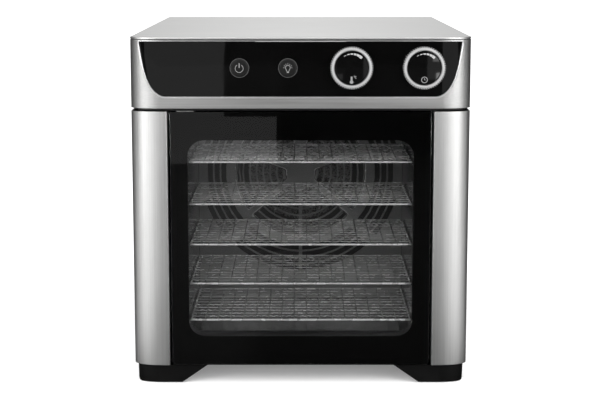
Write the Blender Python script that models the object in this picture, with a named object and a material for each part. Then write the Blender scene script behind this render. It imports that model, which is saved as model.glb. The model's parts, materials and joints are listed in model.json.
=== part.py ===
# Front-loading food dehydrator: a steel cabinet with a glass door on the left,
# five wire trays, a rear fan with a ring heater, and a control head on top.
# X runs to the right, Y to the back, Z up. The feet stand on Z = 0.
import math

import bmesh
import bpy
from mathutils import Matrix, Vector

# Overall body
WIDTH = 0.345
DEPTH = 0.4624
HEIGHT = 0.3585
KNOB_PROUD = 0.0062
FRONT_Y = KNOB_PROUD - DEPTH / 2
BACK_Y = DEPTH / 2
HALF_W = WIDTH / 2
GAP = 0.0003
SHEET = 0.0009
INNER_BACK_Y = BACK_Y - 0.0020
CORNER_RUN = 0.030
CORNER_SETBACK = 0.015
BODY_BOTTOM_Z = 0.0193

# Head
HEAD_BOTTOM_Z = 0.2865
TOP_COVER_Z = 0.3563
BEZEL_TOP_Z = 0.3558
BEZEL_THICK = 0.0020
BEZEL_BACK_Y = -0.190
PANEL_TOP_Z = 0.3541
PANEL_BOTTOM_Z = 0.2986
PANEL_TOP_HALF = 0.1628
PANEL_LEAN = 0.052
PANEL_CORNER = 0.113
PANEL_SIDE_STEPS = 14
PANEL_RECESS = 0.0008
PANEL_THICK = 0.0026

# Pillars and door
PILLAR_INNER_X = 0.1348
PILLAR_TOP_Z = 0.2834
PILLAR_BACK_Y = -0.190
DOOR_HALF_W = 0.1324
DOOR_BOTTOM_Z = 0.0198
DOOR_TOP_Z = 0.2832
GLASS_THICK = 0.003
DOOR_FRAME_FRONT_Y = FRONT_Y + GLASS_THICK + GAP
DOOR_FRAME_BACK_Y = -0.2032
DOOR_FRAME_BOTTOM_Z = 0.0226
DOOR_FRAME_TOP_Z = 0.2806
DOOR_OPENING_HALF = 0.1180
DOOR_OPENING_BOTTOM_Z = 0.0505
DOOR_OPENING_TOP_Z = 0.2570
HINGE_X = -0.1244
HINGE_Y = -0.2190
HINGE_PIN_R = 0.0015

# Chamber
CHAMBER_HALF = 0.1180
CHAMBER_FLOOR_Z = 0.0400
CHAMBER_TOP_Z = 0.2720
MOUTH_Y = -0.2008
BAFFLE_Y = -0.0130
MOTOR_PLATE_Y = 0.0440

# Trays
TRAY_HALF = 0.1160
TRAY_FRONT_Y = -0.1980
TRAY_BACK_Y = -0.0530
TRAY_WIRE = 0.0026
SHELF_HEIGHTS = {"1": 0.2283, "2": 0.1841, "3": 0.1416, "4": 0.1001, "5": 0.0613}
ROD_COUNT = 16

# Fan and grille
FAN_Z = 0.190
FAN_R = 0.062
FAN_BLADES = 14
FAN_FRONT_Y = 0.002
FAN_BACK_Y = 0.028
SHAFT_R = 0.003
HEATER_R = 0.0725
HEATER_TUBE_R = 0.0032
HEATER_Y = 0.012
GRILLE_RINGS = 7
GRILLE_FIRST_R = 0.0209
GRILLE_PITCH = 0.0078
GRILLE_SLOT = 0.0058
GRILLE_ARMS = [(-39, 0.0048), (20, 0.0040), (90, 0.0090), (160, 0.0040), (219, 0.0048)]
GRILLE_ARMS += [(270, 0.0021), (321, 0.0048)]
OUTER_RINGS = 4
OUTER_FIRST_R = 0.0864
OUTER_REACH = 40
LOWER_REACH = 42
LOWER_RIB_HALF = 0.0021

# Controls
RING_R = 0.0215
RING_BORE_R = 0.0174
RING_FRONT_Y = FRONT_Y - KNOB_PROUD
FACE_R = 0.0170
LEFT_RING_X = 0.0513
RIGHT_RING_X = 0.1241
RING_Z = 0.3278
BUTTON_R = 0.00935
POWER_X = -0.0615
LIGHT_X = -0.0128
BUTTON_Z = 0.3274
BUTTON_TRAVEL = 0.0015
SWITCH_FRONT_Y = -0.2105

# Feet
FOOT_TOP_Z = 0.0190
FOOT_BOTTOM_Z = 0.0008
FOOT_OUTER_X = 0.1690
FOOT_FLAT_X = 0.1225
FOOT_ROOT_X = 0.0965
FOOT_FRONT_Y = -0.2220
FOOT_LENGTH = 0.060
PAD_R = 0.009


def clear_scene():
    for item in list(bpy.data.objects):
        bpy.data.objects.remove(item, do_unlink=True)


def make_material(name, colour, roughness, metallic, alpha=1.0):
    material = bpy.data.materials.new(name)
    material.use_nodes = True
    shader = material.node_tree.nodes["Principled BSDF"]
    shader.inputs["Base Color"].default_value = (colour[0], colour[1], colour[2], 1.0)
    shader.inputs["Roughness"].default_value = roughness
    shader.inputs["Metallic"].default_value = metallic
    shader.inputs["Alpha"].default_value = alpha
    material.diffuse_color = (colour[0], colour[1], colour[2], alpha)
    material.roughness = roughness
    material.metallic = metallic
    return material


def brushed_steel(name):
    return make_material(name, (0.62, 0.62, 0.61), 0.32, 1.0)


def plain_steel(name):
    return make_material(name, (0.45, 0.45, 0.45), 0.42, 1.0)


def chrome(name):
    return make_material(name, (0.80, 0.80, 0.80), 0.12, 1.0)


def black_plastic(name):
    return make_material(name, (0.02, 0.02, 0.02), 0.45, 0.0)


def gloss_black(name):
    return make_material(name, (0.008, 0.008, 0.009), 0.06, 0.0)


def dark_glass(name):
    return make_material(name, (0.03, 0.03, 0.035), 0.04, 0.0, 0.45)


def clear_glass(name):
    return make_material(name, (0.75, 0.78, 0.78), 0.04, 0.0, 0.3)


def grey_rubber(name):
    return make_material(name, (0.06, 0.06, 0.06), 0.8, 0.0)


def green_board(name):
    return make_material(name, (0.03, 0.16, 0.08), 0.5, 0.0)


def aluminium(name):
    return make_material(name, (0.70, 0.71, 0.72), 0.38, 1.0)


def finish(name, mesh_bm, material, origin=(0.0, 0.0, 0.0), smooth_angle=None):
    # Cleans the mesh, moves it so that its origin is at the given point, and links it.
    bmesh.ops.remove_doubles(mesh_bm, verts=mesh_bm.verts, dist=0.000002)
    bmesh.ops.recalc_face_normals(mesh_bm, faces=mesh_bm.faces)
    shift = Matrix.Translation((-origin[0], -origin[1], -origin[2]))
    bmesh.ops.transform(mesh_bm, matrix=shift, verts=mesh_bm.verts)
    if smooth_angle is not None:
        for face in mesh_bm.faces:
            face.smooth = True
        limit = math.radians(smooth_angle)
        for edge in mesh_bm.edges:
            if len(edge.link_faces) == 2:
                edge.smooth = edge.calc_face_angle(0.0) < limit
    mesh = bpy.data.meshes.new(name)
    mesh_bm.to_mesh(mesh)
    mesh_bm.free()
    mesh.materials.append(material)
    item = bpy.data.objects.new(name, mesh)
    item.location = origin
    bpy.context.scene.collection.objects.link(item)
    return item


def map_point(u, v, w, plane):
    # (u, v) lie in the named plane and w runs across it.
    if plane == "XY":
        return (u, v, w)
    if plane == "XZ":
        return (u, w, v)
    return (w, u, v)


def plate(outline, holes, plane, low, high):
    # A flat plate from an outer outline and any number of hole outlines.
    mesh_bm = bmesh.new()
    edges = []
    for loop in [outline] + list(holes):
        verts = [mesh_bm.verts.new(map_point(u, v, low, plane)) for u, v in loop]
        for index, vert in enumerate(verts):
            following = verts[(index + 1) % len(verts)]
            edges.append(mesh_bm.edges.new((vert, following)))
    bmesh.ops.triangle_fill(mesh_bm, use_beauty=True, edges=edges)
    grown = bmesh.ops.extrude_face_region(mesh_bm, geom=mesh_bm.faces[:])
    moved = [part for part in grown["geom"] if isinstance(part, bmesh.types.BMVert)]
    offset = map_point(0.0, 0.0, high - low, plane)
    bmesh.ops.translate(mesh_bm, vec=offset, verts=moved)
    bmesh.ops.recalc_face_normals(mesh_bm, faces=mesh_bm.faces)
    return mesh_bm


def box(x0, x1, y0, y1, z0, z1):
    return plate(rectangle(x0, x1, y0, y1), [], "XY", z0, z1)


def rectangle(u0, u1, v0, v1):
    return [(u0, v0), (u1, v0), (u1, v1), (u0, v1)]


def rounded_rectangle(u0, u1, v0, v1, radius, steps=6):
    points = []
    corners = [(u1 - radius, v0 + radius, -90), (u1 - radius, v1 - radius, 0)]
    corners += [(u0 + radius, v1 - radius, 90), (u0 + radius, v0 + radius, 180)]
    for cu, cv, start in corners:
        for step in range(steps + 1):
            angle = math.radians(start + 90 * step / steps)
            points.append((cu + radius * math.cos(angle), cv + radius * math.sin(angle)))
    return points


def circle(cu, cv, radius, count):
    points = []
    for index in range(count):
        angle = 2 * math.pi * index / count
        points.append((cu + radius * math.cos(angle), cv + radius * math.sin(angle)))
    return points


def turned(profile, centre, count, flutes=0, flute_depth=0.0):
    # Revolves (radius, y) pairs about an axis along Y. Radius 0 makes a pole.
    # With flutes, the widest points are pulled in on every second column.
    mesh_bm = bmesh.new()
    widest = max(radius for radius, y in profile)
    rows = []
    for radius, y in profile:
        if radius <= 0.0:
            rows.append([mesh_bm.verts.new((centre[0], y, centre[1]))])
            continue
        row = []
        for index in range(count):
            angle = 2 * math.pi * index / count
            reach = radius
            if flutes and index % 2 and radius > widest - 0.0004:
                reach = radius - flute_depth
            x = centre[0] + reach * math.cos(angle)
            z = centre[1] + reach * math.sin(angle)
            row.append(mesh_bm.verts.new((x, y, z)))
        rows.append(row)
    closed = profile[0][0] > 0.0
    pairs = list(zip(rows, rows[1:]))
    if closed:
        pairs.append((rows[-1], rows[0]))
    for first, second in pairs:
        for index in range(count):
            following = (index + 1) % count
            if len(first) == 1:
                mesh_bm.faces.new((first[0], second[index], second[following]))
            elif len(second) == 1:
                mesh_bm.faces.new((first[index], second[0], first[following]))
            else:
                quad = (first[index], second[index], second[following], first[following])
                mesh_bm.faces.new(quad)
    bmesh.ops.recalc_face_normals(mesh_bm, faces=mesh_bm.faces)
    return mesh_bm


def combine(base_bm, tool_bm, operation):
    # Exact boolean of two closed meshes; returns a new mesh.
    holders = []
    for source in (base_bm, tool_bm):
        mesh = bpy.data.meshes.new("blank")
        source.to_mesh(mesh)
        source.free()
        item = bpy.data.objects.new("blank", mesh)
        bpy.context.scene.collection.objects.link(item)
        holders.append(item)
    cutter = holders[1]
    cutter.hide_render = True
    cutter.display_type = "WIRE"
    modifier = holders[0].modifiers.new("cut", "BOOLEAN")
    modifier.operation = operation
    modifier.solver = "EXACT"
    modifier.object = cutter
    graph = bpy.context.evaluated_depsgraph_get()
    result = bmesh.new()
    result.from_object(holders[0], graph)
    for item in holders:
        mesh = item.data
        bpy.data.objects.remove(item, do_unlink=True)
        bpy.data.meshes.remove(mesh)
    bmesh.ops.remove_doubles(result, verts=result.verts, dist=0.000002)
    return result


def swept_front(inset, steps=8):
    # Front edge in plan, left to right: flat across, swept back at both corners.
    centre_x = HALF_W - CORNER_RUN
    centre_y = FRONT_Y + CORNER_SETBACK
    run = CORNER_RUN - inset
    setback = CORNER_SETBACK - inset
    right = []
    for step in range(steps + 1):
        angle = math.pi / 2 * (1 - step / steps)
        x = centre_x + run * math.cos(angle)
        y = centre_y - setback * math.sin(angle)
        right.append((x, y))
    left = [(-x, y) for x, y in reversed(right)]
    return left + right


def plan_outline(inset, back_y):
    front = swept_front(inset)
    return [(-(HALF_W - inset), back_y)] + front + [(HALF_W - inset, back_y)]


def plan_shell(inset, thickness, back_y):
    # A bent sheet that follows the front and both corners.
    outer = plan_outline(inset, back_y)
    inner = plan_outline(inset + thickness, back_y)
    return outer + inner[::-1]


def panel_outline(shrink):
    # Straight top, sides that lean in and then turn into the straight bottom edge.
    top = PANEL_TOP_Z - shrink
    bottom = PANEL_BOTTOM_Z + shrink
    tall = PANEL_TOP_Z - PANEL_BOTTOM_Z - 2 * shrink
    right = []
    for step in range(PANEL_SIDE_STEPS + 1):
        share = math.sin(math.pi / 2 * step / PANEL_SIDE_STEPS)
        turn = 1 - math.sqrt(max(1 - share ** 4, 0.0))
        reach = 1 - PANEL_LEAN * share - PANEL_CORNER * turn
        z = min(max(top - share * tall, bottom), top)
        right.append((PANEL_TOP_HALF * reach - shrink, z))
    left = [(-x, z) for x, z in reversed(right)]
    return right + left


# Cabinet
def build_base_pan():
    # The middle tongue reaches forward between the pillars.
    outline = [(-0.1708, INNER_BACK_Y), (-0.1708, -0.1890), (-0.1340, -0.1890), (-0.1340, -0.1988)]
    outline += [(-x, y) for x, y in outline[::-1]]
    shape = plate(outline, [], "XY", BODY_BOTTOM_Z, BODY_BOTTOM_Z + SHEET)
    finish("base_pan", shape, plain_steel("base_pan_steel"))


def build_side_panel(name, side):
    inner = side * (HALF_W - SHEET)
    outer = side * HALF_W
    low, high = min(inner, outer), max(inner, outer)
    shape = box(low, high, BEZEL_BACK_Y + GAP, INNER_BACK_Y, BODY_BOTTOM_Z, BEZEL_TOP_Z)
    finish(name, shape, brushed_steel(name + "_steel"))


def build_rear_cover():
    holes = []
    for row in range(9):
        z = 0.105 + 0.0105 * row
        for x in (-0.105, 0.025):
            holes.append(rectangle(x, x + 0.080, z, z + 0.0042))
    for row in range(5):
        z = 0.312 + 0.0065 * row
        holes.append(rectangle(-0.060, 0.060, z, z + 0.0030))
    holes.append(circle(0.125, 0.052, 0.0075, 20))
    outline = rectangle(-HALF_W, HALF_W, BODY_BOTTOM_Z, BEZEL_TOP_Z)
    shape = plate(outline, holes, "XZ", BACK_Y - SHEET - GAP, BACK_Y)
    finish("rear_cover", shape, plain_steel("rear_cover_steel"))


def build_cord_gland():
    # Bushing that lines the cable hole; the bore is open right through.
    profile = [(0.0042, BACK_Y + 0.0), (0.0070, BACK_Y - 0.0), (0.0070, BACK_Y - 0.010)]
    profile += [(0.0042, BACK_Y - 0.010)]
    shape = turned(profile, (0.125, 0.052), 24)
    finish("cord_gland", shape, black_plastic("gland_black"), smooth_angle=40)


def build_top_cover():
    lower = plan_outline(0.0, BACK_Y)
    shape = plate(lower, [], "XY", TOP_COVER_Z, HEIGHT)
    rim = [edge for edge in shape.edges
           if all(abs(vert.co.z - HEIGHT) < 1e-6 for vert in edge.verts)
           and len({round(face.normal.z, 2) for face in edge.link_faces}) > 1]
    bmesh.ops.bevel(shape, geom=rim, offset=0.0009, segments=2, affect="EDGES", profile=0.5)
    finish("top_cover", shape, brushed_steel("top_cover_steel"), smooth_angle=30)


def build_head_bezel():
    shape = plate(plan_shell(0.0, BEZEL_THICK, BEZEL_BACK_Y), [], "XY", HEAD_BOTTOM_Z, BEZEL_TOP_Z)
    opening = plate(panel_outline(0.0), [], "XZ", FRONT_Y - 0.01, FRONT_Y + 0.02)
    shape = combine(shape, opening, "DIFFERENCE")
    finish("head_bezel", shape, brushed_steel("head_bezel_steel"), smooth_angle=30)


def build_control_panel():
    # Follows the sweep of the bezel and fills its opening.
    shell = plan_shell(PANEL_RECESS, PANEL_THICK, BEZEL_BACK_Y)
    shape = plate(shell, [], "XY", HEAD_BOTTOM_Z, BEZEL_TOP_Z)
    holes = [circle(LEFT_RING_X, RING_Z, 0.0197, 40), circle(RIGHT_RING_X, RING_Z, 0.0197, 40)]
    holes += [circle(POWER_X, BUTTON_Z, 0.00975, 32), circle(LIGHT_X, BUTTON_Z, 0.00975, 32)]
    fill = plate(panel_outline(0.00035), holes, "XZ", FRONT_Y - 0.01, FRONT_Y + 0.02)
    shape = combine(shape, fill, "INTERSECT")
    finish("control_panel", shape, gloss_black("control_panel_gloss"), smooth_angle=30)


def build_head_floor():
    # Dark recessed plate that closes the head from below.
    outline = plan_outline(0.0055, INNER_BACK_Y)
    shape = plate(outline, [], "XY", 0.2840, 0.2862)
    finish("head_floor", shape, black_plastic("head_floor_black"))


def build_front_frame():
    outline = rectangle(-0.1344, 0.1344, DOOR_FRAME_BOTTOM_Z, DOOR_FRAME_TOP_Z - 0.0002)
    mouth = rounded_rectangle(-CHAMBER_HALF, CHAMBER_HALF, DOOR_OPENING_BOTTOM_Z,
                              DOOR_OPENING_TOP_Z, 0.012)
    shape = plate(outline, [mouth], "XZ", MOUTH_Y, MOUTH_Y + SHEET)
    finish("front_frame", shape, black_plastic("front_frame_black"))


def build_pillar(name, side):
    # Bent channel: flat inner cheek, swept face, short return along the side.
    wall = 0.0016
    outer = [(x, y) for x, y in swept_front(0.0) if x > 0.1]
    inner = [(x, y) for x, y in swept_front(wall) if x > 0.1]
    path = [(PILLAR_INNER_X, PILLAR_BACK_Y), (PILLAR_INNER_X, FRONT_Y + 0.0012)]
    path += [(PILLAR_INNER_X + 0.0004, FRONT_Y + 0.0004), (PILLAR_INNER_X + 0.0012, FRONT_Y)]
    path += outer + [(HALF_W, PILLAR_BACK_Y)]
    path += [(HALF_W - wall, PILLAR_BACK_Y)] + inner[::-1]
    path += [(PILLAR_INNER_X + wall, FRONT_Y + wall), (PILLAR_INNER_X + wall, PILLAR_BACK_Y)]
    outline = [(side * x, y) for x, y in path]
    shape = plate(outline, [], "XY", BODY_BOTTOM_Z, PILLAR_TOP_Z)
    finish(name, shape, brushed_steel(name + "_steel"), smooth_angle=30)


# Chamber
def build_chamber_wall(name, side):
    low = min(side * CHAMBER_HALF, side * (CHAMBER_HALF + SHEET))
    high = max(side * CHAMBER_HALF, side * (CHAMBER_HALF + SHEET))
    shape = box(low, high, MOUTH_Y + SHEET + GAP, MOTOR_PLATE_Y - GAP,
                CHAMBER_FLOOR_Z, CHAMBER_TOP_Z)
    finish(name, shape, plain_steel(name + "_steel"))


def build_chamber_sheet(name, low_z):
    reach = CHAMBER_HALF + SHEET
    shape = box(-reach, reach, MOUTH_Y + SHEET + GAP, MOTOR_PLATE_Y - GAP, low_z, low_z + SHEET)
    finish(name, shape, plain_steel(name + "_steel"))


def arc_slot(radius, width, start, stop, steps):
    # Ring-shaped slot between two angles, centred on the fan axis.
    points = []
    for step in range(steps + 1):
        angle = start + (stop - start) * step / steps
        points.append((radius * math.cos(angle), FAN_Z + radius * math.sin(angle)))
    outer = radius + width
    for step in range(steps + 1):
        angle = stop + (start - stop) * step / steps
        points.append((outer * math.cos(angle), FAN_Z + outer * math.sin(angle)))
    return points


def grille_slots():
    # Sectors of ring slots between arms, each arm given by its angle and half width.
    slots = []
    for ring in range(GRILLE_RINGS):
        radius = GRILLE_FIRST_R + GRILLE_PITCH * ring
        middle = radius + GRILLE_SLOT / 2
        for (low, low_half), (high, high_half) in zip(GRILLE_ARMS, GRILLE_ARMS[1:]):
            start = math.radians(low) + math.asin(low_half / middle)
            stop = math.radians(high) - math.asin(high_half / middle)
            steps = max(3, round((stop - start) / math.radians(9)))
            slots.append(arc_slot(radius, GRILLE_SLOT, start, stop, steps))
    return slots


def outer_slots():
    # Return-air slots outside the plain ring, kept inside the side walls.
    slots = []
    limit = CHAMBER_HALF - 0.006
    high = math.radians(OUTER_REACH)
    bottom = math.radians(270)
    reach = math.radians(LOWER_REACH)
    for ring in range(OUTER_RINGS):
        radius = OUTER_FIRST_R + GRILLE_PITCH * ring
        outer = radius + GRILLE_SLOT
        rib = math.asin(LOWER_RIB_HALF / outer)
        slots.append(arc_slot(radius, GRILLE_SLOT, bottom - reach, bottom - rib, 6))
        slots.append(arc_slot(radius, GRILLE_SLOT, bottom + rib, bottom + reach, 6))
        for side in (0, 1):
            middle = side * math.pi
            if outer < limit:
                slots.append(arc_slot(radius, GRILLE_SLOT, middle - high, middle + high, 9))
                continue
            low = math.acos(limit / outer) + math.radians(2)
            slots.append(arc_slot(radius, GRILLE_SLOT, middle + low, middle + high, 4))
            slots.append(arc_slot(radius, GRILLE_SLOT, middle - high, middle - low, 4))
    return slots


def build_back_baffle():
    reach = CHAMBER_HALF - GAP
    outline = rectangle(-reach, reach, CHAMBER_FLOOR_Z + GAP, CHAMBER_TOP_Z - GAP)
    shape = plate(outline, grille_slots() + outer_slots(), "XZ", BAFFLE_Y, BAFFLE_Y + 0.001)
    finish("back_baffle", shape, plain_steel("back_baffle_steel"))


def build_tray_rack(name, side):
    # Upright strip on the chamber wall with one ledge under each tray.
    wall = CHAMBER_HALF - GAP
    face = wall - 0.0010
    tip = 0.1115
    points = [(face, CHAMBER_FLOOR_Z + 0.006)]
    for key in sorted(SHELF_HEIGHTS, key=SHELF_HEIGHTS.get):
        top = SHELF_HEIGHTS[key] - TRAY_WIRE / 2 - GAP
        points += [(face, top - 0.0014), (tip, top - 0.0014), (tip, top), (face, top)]
    points += [(face, CHAMBER_TOP_Z - 0.022), (wall, CHAMBER_TOP_Z - 0.022)]
    points += [(wall, CHAMBER_FLOOR_Z + 0.006)]
    outline = [(side * x, z) for x, z in points]
    shape = plate(outline, [], "XZ", TRAY_FRONT_Y + 0.006, TRAY_BACK_Y)
    finish(name, shape, chrome(name + "_chrome"))


def build_tray(name, height):
    # Rod-framed rack: a border, one cross rod and long rods from front to back.
    outline = rounded_rectangle(-TRAY_HALF, TRAY_HALF, TRAY_FRONT_Y, TRAY_BACK_Y, 0.004, 3)
    border = 0.0030
    left = -TRAY_HALF + border
    pitch = (2 * TRAY_HALF - 2 * border + 0.0016) / (ROD_COUNT + 1)
    middle = (TRAY_FRONT_Y + TRAY_BACK_Y) / 2
    holes = []
    for index in range(ROD_COUNT + 1):
        u0 = left + pitch * index
        u1 = u0 + pitch - 0.0016
        holes.append(rectangle(u0, u1, TRAY_FRONT_Y + border, middle - 0.0008))
        holes.append(rectangle(u0, u1, middle + 0.0008, TRAY_BACK_Y - border))
    shape = plate(outline, holes, "XY", height - TRAY_WIRE / 2, height + TRAY_WIRE / 2)
    finish(name, shape, chrome(name + "_chrome"))


def build_lamp_cover():
    # Lens over the chamber lamp, under the ceiling.
    outline = rounded_rectangle(0.050, 0.090, -0.150, -0.120, 0.006)
    shape = plate(outline, [], "XY", CHAMBER_TOP_Z - 0.0065, CHAMBER_TOP_Z - GAP)
    lower = [edge for edge in shape.edges
             if all(abs(vert.co.z - CHAMBER_TOP_Z + 0.0065) < 1e-6 for vert in edge.verts)
             and len({round(face.normal.z, 2) for face in edge.link_faces}) > 1]
    bmesh.ops.bevel(shape, geom=lower, offset=0.002, segments=2, affect="EDGES", profile=0.5)
    finish("lamp_cover", shape, clear_glass("lamp_cover_glass"), smooth_angle=40)


# Heating and air
def build_fan_impeller():
    centre = (0.0, FAN_Z)
    profile = [(SHAFT_R + GAP, FAN_FRONT_Y), (0.012, FAN_FRONT_Y), (0.014, FAN_FRONT_Y + 0.003)]
    profile += [(0.014, FAN_BACK_Y - 0.0020), (FAN_R, FAN_BACK_Y - 0.0014)]
    profile += [(FAN_R, FAN_BACK_Y), (SHAFT_R + GAP, FAN_BACK_Y)]
    shape = turned(profile, centre, 42)
    blades = bmesh.new()
    for index in range(FAN_BLADES):
        angle = 2 * math.pi * index / FAN_BLADES
        blade = box(0.0130, FAN_R - 0.002, FAN_FRONT_Y + 0.002, FAN_BACK_Y - 0.0010,
                    -0.0007, 0.0007)
        turn = Matrix.Rotation(math.radians(18), 4, "Y")
        turn = Matrix.Rotation(angle, 4, "Y") @ turn
        place = Matrix.Translation((0.0, 0.0, FAN_Z)) @ turn
        bmesh.ops.transform(blade, matrix=place, verts=blade.verts)
        holder = bpy.data.meshes.new("blade")
        blade.to_mesh(holder)
        blade.free()
        blades.from_mesh(holder)
        bpy.data.meshes.remove(holder)
    shape = combine(shape, blades, "UNION")
    finish("fan_impeller", shape, aluminium("impeller_aluminium"), (0.0, 0.015, FAN_Z))


def build_fan_shaft():
    profile = [(0.0, FAN_FRONT_Y - 0.003), (SHAFT_R - 0.0005, FAN_FRONT_Y - 0.003)]
    profile += [(SHAFT_R, FAN_FRONT_Y - 0.0025), (SHAFT_R, 0.058), (0.0, 0.058)]
    shape = turned(profile, (0.0, FAN_Z), 20)
    finish("fan_shaft", shape, chrome("shaft_steel"), (0.0, 0.015, FAN_Z), 40)


def build_fan_motor():
    # Round can on the plenum plate, with a boss and a blind bore for the shaft.
    bore = SHAFT_R + GAP
    front = MOTOR_PLATE_Y + SHEET + GAP
    profile = [(bore, MOTOR_PLATE_Y - 0.001), (0.0100, MOTOR_PLATE_Y - 0.001), (0.0100, front)]
    profile += [(0.033, front), (0.035, front + 0.002), (0.035, 0.098), (0.031, 0.101)]
    profile += [(0.010, 0.101), (0.009, 0.106)]
    ends = [(0.0, 0.106)]
    profile = [(0.0, 0.0585), (bore, 0.0585)] + profile + ends
    shape = turned(profile, (0.0, FAN_Z), 36)
    finish("fan_motor", shape, plain_steel("motor_steel"), smooth_angle=35)


def build_motor_plate():
    reach = CHAMBER_HALF + SHEET
    outline = rectangle(-reach, reach, CHAMBER_FLOOR_Z - SHEET, CHAMBER_TOP_Z + SHEET)
    holes = [circle(0.0, FAN_Z, 0.0105, 28)]
    for side in (-1, 1):
        drop = math.sqrt(HEATER_R ** 2 - 0.012 ** 2)
        holes.append(circle(side * 0.012, FAN_Z - drop, 0.0036, 14))
    shape = plate(outline, holes, "XZ", MOTOR_PLATE_Y, MOTOR_PLATE_Y + SHEET)
    finish("motor_plate", shape, plain_steel("motor_plate_steel"))


def build_heater_ring():
    # Open ring of sheathed tube around the fan; both ends turn back as terminals.
    half_gap = math.asin(0.012 / HEATER_R)
    start = -math.pi / 2 + half_gap
    stop = 1.5 * math.pi - half_gap
    path = []
    count = 44
    for step in range(count + 1):
        angle = start + (stop - start) * step / count
        path.append((HEATER_R * math.cos(angle), HEATER_Y, FAN_Z + HEATER_R * math.sin(angle)))
    low_z = FAN_Z - HEATER_R * math.cos(half_gap)
    first = [(0.0120, 0.0600, low_z), (0.0120, HEATER_Y + 0.010, low_z)]
    first += [(0.0126, HEATER_Y + 0.003, low_z)]
    last = [(-0.0126, HEATER_Y + 0.003, low_z), (-0.0120, HEATER_Y + 0.010, low_z)]
    last += [(-0.0120, 0.0600, low_z)]
    shape = tube(first + path[1:-1] + last, HEATER_TUBE_R * 0.9, 10)
    finish("heater_ring", shape, plain_steel("heater_sheath"), smooth_angle=50)


def tube(path, radius, count):
    # Round tube along a path, with flat closed ends.
    mesh_bm = bmesh.new()
    points = [Vector(point) for point in path]
    rows = []
    side = None
    for index, point in enumerate(points):
        before = points[max(index - 1, 0)]
        after = points[min(index + 1, len(points) - 1)]
        along = (after - before).normalized()
        if side is None:
            side = along.orthogonal().normalized()
        side = (side - along * side.dot(along)).normalized()
        other = along.cross(side)
        row = []
        for step in range(count):
            angle = 2 * math.pi * step / count
            offset = side * math.cos(angle) * radius + other * math.sin(angle) * radius
            row.append(mesh_bm.verts.new(point + offset))
        rows.append(row)
    for first, second in zip(rows, rows[1:]):
        for step in range(count):
            following = (step + 1) % count
            mesh_bm.faces.new((first[step], first[following], second[following], second[step]))
    mesh_bm.faces.new(rows[0][::-1])
    mesh_bm.faces.new(rows[-1])
    bmesh.ops.recalc_face_normals(mesh_bm, faces=mesh_bm.faces)
    return mesh_bm


def build_thermostat():
    profile = [(0.0, MOTOR_PLATE_Y + SHEET + GAP), (0.009, MOTOR_PLATE_Y + SHEET + GAP)]
    profile += [(0.009, MOTOR_PLATE_Y + 0.009), (0.006, MOTOR_PLATE_Y + 0.011)]
    profile += [(0.0, MOTOR_PLATE_Y + 0.011)]
    shape = turned(profile, (0.070, FAN_Z + 0.045), 28)
    finish("thermostat", shape, black_plastic("thermostat_black"), smooth_angle=35)


def build_control_board():
    outline = rounded_rectangle(-0.090, 0.152, 0.2990, 0.3500, 0.003, 3)
    holes = []
    for x in (-0.084, 0.088, 0.146):
        for z in (0.3045, 0.3450):
            holes.append(circle(x, z, 0.0016, 10))
    shape = plate(outline, holes, "XZ", -0.2060, -0.2044)
    finish("control_board", shape, green_board("control_board_green"))


def build_display_module(name, x):
    shape = box(x - 0.0105, x + 0.0105, -0.2155, -0.2063, RING_Z - 0.0105, RING_Z + 0.0105)
    finish(name, shape, black_plastic(name + "_black"))


def build_button_switch(name, x):
    shape = box(x - 0.003, x + 0.003, SWITCH_FRONT_Y, -0.2063, BUTTON_Z - 0.003, BUTTON_Z + 0.003)
    finish(name, shape, black_plastic(name + "_black"))


# Controls
def build_knob_ring(name, x):
    # Knurled ring that turns round a fixed face; its sleeve passes through the panel.
    profile = [(RING_BORE_R, RING_FRONT_Y + 0.0006), (RING_BORE_R + 0.0007, RING_FRONT_Y)]
    profile += [(RING_R - 0.0012, RING_FRONT_Y), (RING_R, RING_FRONT_Y + 0.0012)]
    profile += [(RING_R, FRONT_Y + PANEL_RECESS - 0.0007)]
    profile += [(0.0193, FRONT_Y + PANEL_RECESS - 0.0005), (0.0193, -0.2165)]
    profile += [(RING_BORE_R, -0.2165)]
    shape = turned(profile, (x, RING_Z), 96, flutes=48, flute_depth=0.0005)
    finish(name, shape, chrome(name + "_chrome"), (x, RING_FRONT_Y + 0.003, RING_Z))


def build_knob_face(name, x):
    profile = [(0.0, RING_FRONT_Y + 0.0010), (FACE_R - 0.0008, RING_FRONT_Y + 0.0010)]
    profile += [(FACE_R, RING_FRONT_Y + 0.0018), (FACE_R, -0.2160), (0.0, -0.2160)]
    shape = turned(profile, (x, RING_Z), 48)
    finish(name, shape, gloss_black(name + "_gloss"), smooth_angle=30)


def build_button(name, x):
    # Cap with a retaining flange behind the panel and a stem towards its switch.
    back = FRONT_Y + PANEL_RECESS + PANEL_THICK + GAP
    tip = SWITCH_FRONT_Y - BUTTON_TRAVEL - 0.0004
    profile = [(0.0, FRONT_Y - 0.0006), (BUTTON_R - 0.0012, FRONT_Y - 0.0004)]
    profile += [(BUTTON_R, FRONT_Y + 0.0006), (BUTTON_R, back), (0.0108, back)]
    profile += [(0.0108, back + 0.0014), (0.0026, back + 0.0014), (0.0026, tip)]
    profile += [(0.0, tip)]
    shape = turned(profile, (x, BUTTON_Z), 40)
    finish(name, shape, gloss_black(name + "_gloss"), (x, FRONT_Y, BUTTON_Z), 35)


# Door
def build_door_glass():
    outline = rounded_rectangle(-DOOR_HALF_W, DOOR_HALF_W, DOOR_BOTTOM_Z, DOOR_TOP_Z, 0.0015, 3)
    shape = plate(outline, [], "XZ", FRONT_Y, FRONT_Y + GLASS_THICK)
    return finish("door_glass", shape, dark_glass("door_glass_dark"), (HINGE_X, HINGE_Y, 0.15))


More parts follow.
